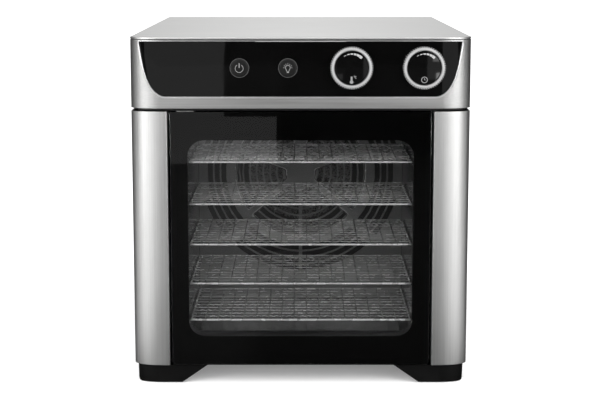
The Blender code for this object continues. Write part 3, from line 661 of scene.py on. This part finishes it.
def wireTree():
    # Parallel wires along X, spaced along Y, each with its own share of the crimp
    tree = bpy.data.node_groups.new("parallelWires", "GeometryNodeTree")
    keys = {}
    for kind, labels in (("Geometry", ["Geometry"]), ("Int", ["Count", "Points", "Sides", "Seed"]),
                         ("Float", ["Pitch", "Length", "Radius", "Crimp Height", "Crimp Length"]),
                         ("Material", ["Material"])):
        for label in labels:
            socket = tree.interface.new_socket(name=label, in_out="INPUT",
                                               socket_type="NodeSocket" + kind)
            keys[label] = socket.identifier
    tree.interface.new_socket(name="Geometry", in_out="OUTPUT", socket_type="NodeSocketGeometry")
    entry = tree.nodes.new("NodeGroupInput")
    leave = tree.nodes.new("NodeGroupOutput")

    half = mathNode(tree, "MULTIPLY", entry.outputs["Length"], 0.5)
    minus = mathNode(tree, "MULTIPLY", half, -1.0)
    start = joined(tree, "ShaderNodeCombineXYZ", {0: minus})
    stop = joined(tree, "ShaderNodeCombineXYZ", {0: half})
    line = joined(tree, "GeometryNodeCurvePrimitiveLine", {"Start": start.outputs[0],
                                                           "End": stop.outputs[0]})
    fineLine = joined(tree, "GeometryNodeResampleCurve", {"Curve": line.outputs[0],
                                                          "Count": entry.outputs["Points"]})
    step = joined(tree, "ShaderNodeCombineXYZ", {1: entry.outputs["Pitch"]})
    places = joined(tree, "GeometryNodeMeshLine", {"Count": entry.outputs["Count"],
                                                   "Offset": step.outputs[0]})
    spread = joined(tree, "GeometryNodeInstanceOnPoints", {"Points": places.outputs[0],
                                                           "Instance": fineLine.outputs[0]})
    rows = joined(tree, "GeometryNodeRealizeInstances", {0: spread.outputs[0]})

    where = addNode(tree, "GeometryNodeInputPosition")
    parts = joined(tree, "ShaderNodeSeparateXYZ", {0: where.outputs[0]})
    row = mathNode(tree, "ROUND", mathNode(tree, "DIVIDE", parts.outputs[1], entry.outputs["Pitch"]))
    luck = joined(tree, "FunctionNodeRandomValue", {"ID": row, "Seed": entry.outputs["Seed"]},
                  {2: 0.15, 3: 1.0}, {"data_type": "FLOAT"})
    turn = mathNode(tree, "MULTIPLY", mathNode(tree, "DIVIDE", parts.outputs[0],
                                               entry.outputs["Crimp Length"]), 2 * math.pi)
    phase = mathNode(tree, "ADD", turn, mathNode(tree, "MULTIPLY", row, math.pi))
    wave = mathNode(tree, "MULTIPLY", mathNode(tree, "SINE", phase), entry.outputs["Crimp Height"])
    lift = mathNode(tree, "MULTIPLY", wave, luck.outputs[1])
    offset = joined(tree, "ShaderNodeCombineXYZ", {2: lift})
    crimp = joined(tree, "GeometryNodeSetPosition", {"Geometry": rows.outputs[0],
                                                     "Offset": offset.outputs[0]})

    ring = joined(tree, "GeometryNodeCurvePrimitiveCircle", {"Resolution": entry.outputs["Sides"],
                                                             "Radius": entry.outputs["Radius"]})
    sweep = joined(tree, "GeometryNodeCurveToMesh", {"Curve": crimp.outputs[0],
                                                     "Profile Curve": ring.outputs[0]},
                   {"Fill Caps": True})
    final = joined(tree, "GeometryNodeRealizeInstances", {0: sweep.outputs[0]})
    paintNode = joined(tree, "GeometryNodeSetMaterial", {"Geometry": final.outputs[0],
                                                         "Material": entry.outputs["Material"]})
    tree.links.new(paintNode.outputs[0], leave.inputs[0])
    return tree, keys


def growWires(name, tree, keys, values, matrix, node):
    # Runs the tree once, and keeps the result as a plain mesh placed by the matrix
    seed = bpy.data.objects.new(name + "Seed", bpy.data.meshes.new(name + "Seed"))
    bpy.context.scene.collection.objects.link(seed)
    modifier = seed.modifiers.new("wires", "NODES")
    modifier.node_group = tree
    for label, value in values.items():
        modifier[keys[label]] = value
    graph = bpy.context.evaluated_depsgraph_get()
    grown = bpy.data.meshes.new_from_object(seed.evaluated_get(graph))
    bpy.data.objects.remove(seed, do_unlink=True)
    shape = bmesh.new()
    shape.from_mesh(grown)
    bmesh.ops.transform(shape, matrix=matrix, verts=shape.verts)
    bpy.data.meshes.remove(grown)
    addPiece(name, shape, bodyOf[node], values["Material"], (), 80.0)


def trayFrame(name, node):
    # A straight bright bar along the front, and a thinner closed frame just below the mesh
    low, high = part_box(node)
    middleZ = (low[2] + high[2]) / 2
    radius = trayLook["frontWireRadius"]
    reach = high[0] - trayLook["frontWireInset"]
    stop = reach - trayLook["frontWireStop"]
    bar = sweptTube([(x, low[1] + radius, middleZ) for x in (-reach, -stop, stop, reach)], radius, 14)
    addPiece(name + "FrontBar", bar, bodyOf[node], skin["wire"], [node], 80.0)
    loop = roundedLoop(low[0] + trayLook["sideInset"], high[0] - trayLook["sideInset"],
                       low[1] + trayLook["frontInset"], high[1] - trayLook["rearInset"],
                       trayLook["cornerRadius"], 6)
    path = [(x, y, middleZ - trayLook["frameDrop"]) for x, y in loop[::-1]]
    frameWire = sweptTube(path, trayLook["frameRadius"], 10, True)
    addPiece(name + "Frame", frameWire, bodyOf[node], skin["wire"], (), 80.0)


def trayMesh(name, node, tree, keys):
    # Crimped wires from side to side, over plain rods from front to back; the rods take a dark copy of
    # the wire steel as painted shade
    low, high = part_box(node)
    middleZ = (low[2] + high[2]) / 2
    width = high[0] - low[0]
    depth = high[1] - low[1]
    crossCount = int((depth - trayLook["crossMargin"]) / trayLook["crossPitch"])
    firstY = low[1] + (depth - (crossCount - 1) * trayLook["crossPitch"]) / 2
    values = {"Count": crossCount, "Pitch": trayLook["crossPitch"],
              "Length": width - trayLook["crossTrim"], "Radius": trayLook["crossRadius"],
              "Crimp Height": trayLook["waveHeight"], "Crimp Length": trayLook["waveLength"],
              "Points": 220, "Sides": 6, "Seed": 4, "Material": skin["wire"]}
    place = Matrix.Translation((0.0, firstY, middleZ + trayLook["crossLift"]))
    growWires(name + "Cross", tree, keys, values, place, node)

    rodCount = int((width - trayLook["rodMargin"]) / trayLook["rodPitch"])
    firstX = (rodCount - 1) * trayLook["rodPitch"] / 2
    values = {"Count": rodCount, "Pitch": trayLook["rodPitch"], "Length": depth - trayLook["rodTrim"],
              "Radius": trayLook["rodRadius"], "Crimp Height": 0.0, "Crimp Length": 0.01,
              # The rods' dark steel is painted shade under the cross wires
              "Points": 24, "Sides": 6, "Seed": 2, "Material": skin["rod"]}
    place = Matrix.Translation((firstX, low[1] + depth / 2, middleZ))
    growWires(name + "Rods", tree, keys, values, place @ Matrix.Rotation(math.radians(90), 4, "Z"), node)


def makeTrays():
    tree, keys = wireTree()
    for number in range(1, 6):
        trayFrame("tray" + str(number), "tray_" + str(number))
        trayMesh("tray" + str(number), "tray_" + str(number), tree, keys)
    print("trays done")


makeTrays()


# Fan, heater and motor behind the baffle
def makeAirSystem():
    # The fan's darker grey is partly painted shade behind the baffle
    carryOver("fan_impeller", skin["fan"], 0.0002, 1)
    carryOver("fan_shaft", skin["shaft"], 0.0003, 1)
    carryOver("fan_motor", skin["motor"], 0.0006)
    # The motor plate is near black as painted shade, so the baffle slots read dark
    carryOver("motor_plate", skin["plenum"], 0.0003, 1)
    carryOver("heater_ring", skin["heater"], 0.0, 1)
    carryOver("thermostat", skin["plastic"], 0.0004)
    print("air system done")


makeAirSystem()


# Head panel, knobs and buttons
panelLook = {
    "trimWidth": 0.0017,
    "edgeGap": 0.00035,
    "lean": 0.052,
    "corner": 0.113,
    "sideSteps": 26,
    "lowSteps": 40,
    "topSteps": 48,
    "crown": 0.0007,
    "dashCount": 6,
    "dashRadius": 0.0141,
    "dashStart": 123.0,
    "dashThin": 0.0005,
    "dashGrow": 0.0004,
    "dashSpan": 9.0,
    "dashSpanGrow": 0.6,
    "dashGap": 5.0,
    "knurlCount": 56,
    "knurlDepth": 0.0011,
    "knurlFill": 0.46,
    "markThick": 0.00008,
    "buttonMarkThick": 0.0002,
    "haloRadius": 0.00945,
    "haloWidth": 0.00035,
    "haloThick": 0.0001,
}

# How the front of the head is swept back towards its corners
headSweep = {"frontY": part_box("head_bezel")[0][1], "run": 0.030, "setback": 0.015}
headSweep["flatHalf"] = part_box("head_bezel")[1][0] - headSweep["run"]
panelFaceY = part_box("control_panel")[0][1]


def frontArc(x, z, radius, width, startDeg, stopDeg, y, lift=panelLook["markThick"], steps=10):
    points = []
    for reach, first, last in ((radius + width / 2, startDeg, stopDeg),
                               (radius - width / 2, stopDeg, startDeg)):
        for step in range(steps + 1):
            angle = math.radians(first + (last - first) * step / steps)
            points.append((x + reach * math.cos(angle), z + reach * math.sin(angle)))
    return flatPlate(points, [], "XZ", y - lift, y)


def frontBar(x0, z0, x1, z1, width, y, lift=panelLook["markThick"]):
    along = Vector((x1 - x0, z1 - z0)).normalized()
    side = Vector((-along.y, along.x)) * width / 2
    points = [(x0 + side.x, z0 + side.y), (x0 - side.x, z0 - side.y),
              (x1 - side.x, z1 - side.y), (x1 + side.x, z1 + side.y)]
    return flatPlate(points, [], "XZ", y - lift, y)


def frontRing(x, z, radius, width, y, lift=panelLook["markThick"], count=32):
    return flatPlate(circleLoop(x, z, radius + width / 2, count),
                     [circleLoop(x, z, radius - width / 2, count)], "XZ", y - lift, y)


def frontY(x):
    # How far forward the head's skin stands at x
    run, setback = headSweep["run"], headSweep["setback"]
    past = min(max(abs(x) - headSweep["flatHalf"], 0.0), run)
    return headSweep["frontY"] + setback - setback * math.sqrt(1 - (past / run) ** 2)


def panelLoop():
    # Outline of the opening in the head: a straight top and sides that lean in below
    low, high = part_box("control_panel")
    gap = panelLook["edgeGap"]
    half, top, bottom = high[0] + gap, high[2] + gap, low[2] - gap
    right = []
    for step in range(panelLook["sideSteps"] + 1):
        share = math.sin(math.pi / 2 * step / panelLook["sideSteps"])
        turn = 1 - math.sqrt(max(1 - share ** 4, 0.0))
        reach = 1 - panelLook["lean"] * share - panelLook["corner"] * turn
        right.append((half * reach, top + (bottom - top) * share))
    end = right[-1][0]
    count = panelLook["lowSteps"]
    across = [(end * (1 - 2 * i / count), bottom) for i in range(1, count)]
    left = [(-x, z) for x, z in right[::-1]]
    count = panelLook["topSteps"]
    back = [(-half * (1 - 2 * i / count), top) for i in range(1, count)]
    return right + across + left + back


def panelTrim():
    # Bright stepped rim that frames the panel and follows the swept front
    loop = panelLoop()
    total = len(loop)
    low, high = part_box("control_panel")
    middleZ = (low[2] + high[2]) / 2
    shape = bmesh.new()
    rows = []
    width = panelLook["trimWidth"]
    # Outward from the opening, and back from the head's skin
    profile = [(width, 0.0004), (width - 0.00015, -0.00045), (0.00060, -0.00012), (0.00050, -0.00042),
               (0.00012, -0.00042), (0.0, -0.0001), (0.0, 0.0009), (width - 0.0003, 0.0009)]
    for index, (x, z) in enumerate(loop):
        before = Vector(loop[index - 1])
        after = Vector(loop[(index + 1) % total])
        along = (after - before).normalized()
        out = Vector((along.y, -along.x))
        if out.dot(Vector((x, z - middleZ))) < 0:
            out = -out
        row = []
        for outset, depth in profile:
            point = Vector((x, z)) + out * outset
            row.append(shape.verts.new((point.x, frontY(point.x) + depth, point.y)))
        rows.append(row)
    count = len(profile)
    for index in range(total):
        first, second = rows[index], rows[(index + 1) % total]
        for k in range(count):
            m = (k + 1) % count
            shape.faces.new((first[k], first[m], second[m], second[k]))
    return shape


def domeOver(shape, x, z, radius):
    # Lays flat marks over the crown of the knob face
    for vert in shape.verts:
        reach = math.hypot(vert.co.x - x, vert.co.z - z) / radius
        vert.co.y -= panelLook["crown"] * max(1.0 - reach ** 2, 0.0)
    return shape


def knobFace(x, z, y, back, radius):
    # Glossy disc with a low crown and a soft rim
    profile = [(radius * share, y - panelLook["crown"] * (1.0 - share ** 2))
               for share in (0.0, 0.12, 0.25, 0.38, 0.5, 0.62, 0.73, 0.83, 0.91, 0.96)]
    profile += [(radius - 0.0001, y + 0.0007), (radius, y + 0.0011), (radius, back), (0.0, back)]
    return turnedY(profile, x, z, 72)


def knobFaceMarks(x, z, y):
    # A row of dashes that grow clockwise and close up
    shapes = []
    angle = panelLook["dashStart"]
    for index in range(panelLook["dashCount"]):
        span = panelLook["dashSpan"] + panelLook["dashSpanGrow"] * index
        width = panelLook["dashThin"] + panelLook["dashGrow"] * index
        shapes.append(frontArc(x, z, panelLook["dashRadius"], width, angle, angle - span, y))
        angle -= span + panelLook["dashGap"] - index
    return shapes


def thermometerIcon(x, z, y):
    stem = [frontBar(x - 0.0002, z - 0.0085, x - 0.0002, z - 0.0142, 0.0019, y),
            flatPlate(circleLoop(x - 0.0002, z - 0.0140, 0.0018, 18), [], "XZ",
                      y - panelLook["markThick"], y)]
    degree = [frontRing(x + 0.0027, z - 0.0083, 0.0005, 0.0004, y, count=14),
              frontArc(x + 0.0041, z - 0.0094, 0.0009, 0.0005, 55, 305, y)]
    return stem + degree


def clockIcon(x, z, y):
    middle = z - 0.0118
    return [frontRing(x, middle, 0.0029, 0.0007, y), frontBar(x, middle, x, middle + 0.0018, 0.0006, y),
            frontBar(x, middle, x + 0.0011, middle, 0.0006, y)]


def powerIcon(x, z, y):
    lift = panelLook["buttonMarkThick"]
    return [frontArc(x - 0.0002, z - 0.0004, 0.0040, 0.00055, 122, 418, y, lift, 24),
            frontBar(x - 0.0002, z + 0.0002, x - 0.0002, z + 0.0050, 0.0009, y, lift)]


def bulbIcon(x, z, y):
    # Outline of a bulb with its cap below and short rays around it
    middle = z + 0.0004
    lift = panelLook["buttonMarkThick"]
    shapes = [frontArc(x, middle, 0.0024, 0.0006, -35, 215, y, lift, 16)]
    for side in (-1, 1):
        shapes.append(frontBar(x + side * 0.0019, middle - 0.0013, x + side * 0.0010,
                               middle - 0.0036, 0.0006, y, lift))
    shapes.append(frontBar(x - 0.0011, middle - 0.0045, x + 0.0011, middle - 0.0045, 0.0014, y, lift))
    for angle in range(0, 181, 30):
        c, s = math.cos(math.radians(angle)), math.sin(math.radians(angle))
        shapes.append(frontBar(x + 0.0034 * c, middle + 0.0034 * s, x + 0.0045 * c,
                               middle + 0.0045 * s, 0.0006, y, lift))
    return shapes


def knobRing(label):
    # Coned front rim, a row of fine teeth on the outside and a sleeve through the panel
    low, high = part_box("knob_ring_" + label)
    x, z = (low[0] + high[0]) / 2, (low[2] + high[2]) / 2
    radius = (high[0] - low[0]) / 2
    front, back = low[1], high[1]
    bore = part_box("knob_face_" + label)[1][0] - x + 0.0004
    depth = panelLook["knurlDepth"]
    skirt = panelFaceY - 0.0002
    profile = [(bore, front + 0.0014), (bore + 0.0003, front + 0.0006), (bore + 0.0009, front + 0.0001),
               (bore + 0.0016, front), (bore + 0.0024, front + 0.0002), (bore + 0.0026, front + 0.0005),
               (radius - depth, front + 0.0009), (radius - depth, skirt), (bore + 0.0019, skirt),
               (bore + 0.0019, back), (bore, back)]
    rim = turnedY(profile, x, z, 96)
    teeth = []
    count = panelLook["knurlCount"]
    half = math.pi / count * panelLook["knurlFill"]
    for index in range(count):
        angle = 2 * math.pi * index / count
        corners = []
        for turn, reach in ((-half, radius - depth - 0.0003), (-half * 0.45, radius),
                            (half * 0.45, radius), (half, radius - depth - 0.0003)):
            corners.append((x + reach * math.cos(angle + turn), z + reach * math.sin(angle + turn)))
        teeth.append(flatPlate(corners, [], "XZ", front + 0.0007, skirt - 0.0003))
    node = "knob_ring_" + label
    addPiece("knobRing" + label.capitalize(), plates([rim] + teeth), bodyOf[node], skin["ring"],
             [node], 30)


def makeControls():
    addPiece("panelTrim", panelTrim(), "cabinet", skin["trim"], smooth=40)
    carryOver("control_panel", skin["panel"], 0.0003)
    carryOver("control_board", skin["board"], 0.0002, 1)
    for label in ("left", "right"):
        carryOver("display_module_" + label, skin["plastic"], 0.0004)
        knobRing(label)
        node = "knob_face_" + label
        low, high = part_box(node)
        x, z, radius = (low[0] + high[0]) / 2, (low[2] + high[2]) / 2, (high[0] - low[0]) / 2
        addPiece("knobFace" + label.capitalize(), knobFace(x, z, low[1], high[1], radius), "cabinet",
                 skin["face"], [node])
        dashes = domeOver(plates(knobFaceMarks(x, z, low[1])), x, z, radius)
        addPiece("knobScale" + label.capitalize(), dashes, "cabinet", skin["ink"])
        icon = thermometerIcon(x, z, low[1]) if label == "left" else clockIcon(x, z, low[1])
        addPiece("knobIcon" + label.capitalize(), domeOver(plates(icon), x, z, radius), "cabinet",
                 skin["iconInk"])
    for label in ("power", "light"):
        node = "button_" + label
        carryOver(node, skin["cap"], 0.0003)
        carryOver("switch_" + label, skin["plastic"], 0.0003)
        low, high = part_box(node)
        x, z = (low[0] + high[0]) / 2, (low[2] + high[2]) / 2
        icon = powerIcon(x, z, low[1]) if label == "power" else bulbIcon(x, z, low[1])
        addPiece("buttonMark" + label.capitalize(), plates(icon), bodyOf[node], skin["iconInk"])
        halo = frontRing(x, z, panelLook["haloRadius"], panelLook["haloWidth"], panelFaceY,
                         panelLook["haloThick"], 48)
        addPiece("buttonHalo" + label.capitalize(), halo, "cabinet", skin["dimInk"])
    print("controls done")


makeControls()


# Door glass, frame and catches
doorLook = {
    "windowHalf": 0.1150,
    "windowLow": 0.0497,
    "windowHigh": 0.2539,
    "windowRadius": 0.0168,
    "printThick": 0.0001,
    "printEdge": 0.0004,
    "printCorner": 0.0015,
    "printInset": 0.00014,
}


def makeDoor():
    carryOver("door_glass", skin["doorGlass"], 0.0005)
    low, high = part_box("door_glass")
    edge = doorLook["printEdge"]
    outer = roundedLoop(low[0] + edge, high[0] - edge, low[2] + edge, high[2] - edge,
                        doorLook["printCorner"])
    window = roundedLoop(-doorLook["windowHalf"], doorLook["windowHalf"], doorLook["windowLow"],
                         doorLook["windowHigh"], doorLook["windowRadius"], 14)
    printY = high[1] - doorLook["printInset"]
    enamel = flatPlate(outer, [window], "XZ", printY, printY + doorLook["printThick"])
    addPiece("doorEnamel", enamel, "door", skin["enamel"])
    carryOver("door_frame", skin["plastic"], 0.0008)
    carryOver("door_inner_glass", skin["innerGlass"], 0.0004)
    carryOver("door_gasket", skin["rubber"], 0.0003)
    for label in ("lower", "upper"):
        carryOver("door_strike_" + label, skin["galvanised"], 0.0002)
        carryOver("catch_magnet_" + label, skin["rubber"], 0.0003)
        carryOver("hinge_plate_" + label, skin["galvanised"], 0.0002)
    print("door done")


makeDoor()


# Floor, light and camera
studio = {
    "floorSize": 9.0,
    "floorLift": 0.2,
    # Name, place, aim, size and power; each of the pairs stands on both sides
    "pairs": [
        ("softbox", (1.25, -1.45, 0.85), (0.0, -0.2, 0.30), (0.75, 1.1), 11.0),
        ("innerBox", (0.62, -1.75, 0.80), (0.3, -0.2, 0.4), (0.45, 1.0), 2.8),
        ("lowBox", (1.25, -1.45, 0.065), (0.0, -0.2, 0.065), (0.75, 0.12), 2.42),
        ("lowInner", (0.65, -1.70, 0.065), (0.3, -0.2, 0.065), (0.40, 0.12), 0.616),
    ],
    "cards": [
        ("cardHigh", (-0.71, -1.80, 0.55), (-0.71, 0.0, 0.55), (1.10, 0.9), 1.2),
        ("cardLow", (-0.65, -1.80, 0.05), (-0.65, 0.0, 0.05), (1.20, 0.1), 0.144),
        ("cardRight", (0.83, -1.80, 0.50), (0.83, 0.0, 0.50), (1.04, 1.0), 1.2),
        # High above the front, for the edges that look up
        ("highBox", (0.0, -1.25, 1.90), (0.0, -0.20, 0.34), (1.5, 0.45), 5.0),
    ],
    "mouthGap": 0.0012,
    "mouthWidth": 0.222,
    "mouthTop": 0.256,
    "wireStrip": (0.005, 0.0016),
    "trayStrip": (0.006, 0.0048),
    "trayStripSpread": 70,
    "trayStripAim": (0.060, -0.050),
    "floorShade": 0.86,
    "airLevel": 1.45,
    "patchLevel": 1.05,
    "leastMirror": 0.004,
    "lens": 87.24,
    "shiftY": -0.06,
    "pitch": 8.324,
    "cameraPlace": (-0.0006, -1.6839, 0.4435),
}


def makeFloor():
    # Pale to the eye; in the glass it shows dark, apart from the left and the two far sides
    material, tree, shader, where = startMaterial("studioFloor")
    path = addNode(tree, "ShaderNodeLightPath")
    parts = joined(tree, "ShaderNodeSeparateXYZ", {0: where})
    leftSide = mapRange(tree, parts.outputs[0], -0.075, -0.040, 0.060, 0.002)
    wide = mapRange(tree, mathNode(tree, "ABSOLUTE", parts.outputs[0]), 0.20, 0.32, 0.0, 0.95)
    ahead = mapRange(tree, parts.outputs[1], -0.40, -0.10, 1.0, 0.05)
    near = mapRange(tree, parts.outputs[1], -1.10, -0.60)
    wide = mathNode(tree, "MULTIPLY", wide, mathNode(tree, "MULTIPLY", ahead, near))
    seen = mathNode(tree, "ADD", leftSide, wide)
    mirrored = joined(tree, "ShaderNodeCombineXYZ", {0: seen, 1: seen, 2: seen})
    bounced = mathNode(tree, "MINIMUM", path.outputs["Glossy Depth"], 1.0)
    setTint(tree, shader, bounced, grey(studio["floorShade"]), mirrored.outputs[0])
    shader.inputs["Roughness"].default_value = 0.9
    shader.inputs["Emission Color"].default_value = grey(1.0)
    tree.links.new(mathNode(tree, "MULTIPLY", path.outputs["Is Camera Ray"], studio["floorLift"]),
                   shader.inputs["Emission Strength"])
    shape = bmesh.new()
    bmesh.ops.create_grid(shape, x_segments=1, y_segments=1, size=studio["floorSize"] / 2)
    mesh = bpy.data.meshes.new("floor")
    shape.to_mesh(mesh)
    shape.free()
    mesh.materials.append(material)
    floor = bpy.data.objects.new("floor", mesh)
    bpy.context.scene.collection.objects.link(floor)


def areaLight(name, place, aim, size, power):
    data = bpy.data.lights.new(name, "AREA")
    data.shape = "RECTANGLE"
    data.size, data.size_y = size
    data.energy = power
    light = bpy.data.objects.new(name, data)
    light.location = place
    direction = Vector(aim) - Vector(place)
    light.rotation_euler = direction.to_track_quat("-Z", "Y").to_euler()
    light.visible_camera = False
    bpy.context.scene.collection.objects.link(light)
    return light


def makeLights():
    for side, label in ((-1, "Left"), (1, "Right")):
        for name, (x, y, z), (aimX, aimY, aimZ), size, power in studio["pairs"]:
            areaLight(name + label, (side * x, y, z), (side * aimX, aimY, aimZ), size, power)
    for name, place, aim, size, power in studio["cards"]:
        areaLight(name, place, aim, size, power)
    # What comes in through the door: a low strip at each front wire, a steep one above each tray
    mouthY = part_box("tray_1")[0][1] - studio["mouthGap"]
    width = studio["mouthWidth"]
    wireHeight, wirePower = studio["wireStrip"]
    stripHeight, stripPower = studio["trayStrip"]
    inward, downward = studio["trayStripAim"]
    above = studio["mouthTop"]
    for number in range(1, 6):
        low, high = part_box("tray_" + str(number))
        wireZ = (low[2] + high[2]) / 2
        stripZ = above - stripHeight
        areaLight("wire" + str(number), (0.0, mouthY, wireZ), (0.0, 0.0, wireZ),
                  (width, wireHeight), wirePower)
        strip = areaLight("strip" + str(number), (0.0, mouthY, stripZ),
                          (0.0, mouthY + inward, stripZ + downward), (width, stripHeight), stripPower)
        strip.data.spread = math.radians(studio["trayStripSpread"])
        above = low[2]


def makeAir():
    # Even light for dull surfaces; mirrors see a bright patch behind, a soft ceiling and dark sides
    world = bpy.data.worlds.new("studioAir")
    world.use_nodes = True
    world.cycles.sampling_method = "NONE"
    tree = world.node_tree
    back = tree.nodes["Background"]
    back.inputs["Color"].default_value = grey(1.0)
    path = addNode(tree, "ShaderNodeLightPath")
    place = addNode(tree, "ShaderNodeTexCoord")
    parts = joined(tree, "ShaderNodeSeparateXYZ", {0: place.outputs["Generated"]})
    behind = mapRange(tree, parts.outputs[1], 0.2, 0.9)
    centred = mapRange(tree, mathNode(tree, "ABSOLUTE", parts.outputs[0]), 0.0, 0.24, 1.28, 0.1)
    above = mapRange(tree, parts.outputs[2], -0.05, 0.15)
    bright = mathNode(tree, "MULTIPLY", mathNode(tree, "MULTIPLY", behind, centred), above)
    overhead = mapRange(tree, parts.outputs[2], 0.35, 0.95, 0.0, 0.8)
    glossy = mathNode(tree, "ADD", mathNode(tree, "MULTIPLY", bright, studio["patchLevel"]), overhead)
    glossy = mathNode(tree, "ADD", glossy, studio["leastMirror"])
    bounced = mathNode(tree, "MINIMUM", path.outputs["Glossy Depth"], 1.0)
    level = mathNode(tree, "MULTIPLY", glossy, bounced)
    plain = mathNode(tree, "SUBTRACT", 1.0, bounced)
    level = mathNode(tree, "ADD", level, mathNode(tree, "MULTIPLY", plain, studio["airLevel"]))
    tree.links.new(level, back.inputs["Strength"])
    bpy.context.scene.world = world


def makeCamera():
    data = bpy.data.cameras.new("camera")
    data.lens = studio["lens"]
    data.sensor_width = 36.0
    data.shift_y = studio["shiftY"]
    data.clip_start = 0.01
    camera = bpy.data.objects.new("camera", data)
    camera.location = studio["cameraPlace"]
    camera.rotation_euler = (math.radians(90.0 - studio["pitch"]), 0.0, 0.0)
    bpy.context.scene.collection.objects.link(camera)
    bpy.context.scene.camera = camera


makeFloor()
makeLights()
makeAir()
makeCamera()
bpy.context.scene.view_settings.view_transform = "Standard"
print("studio done")
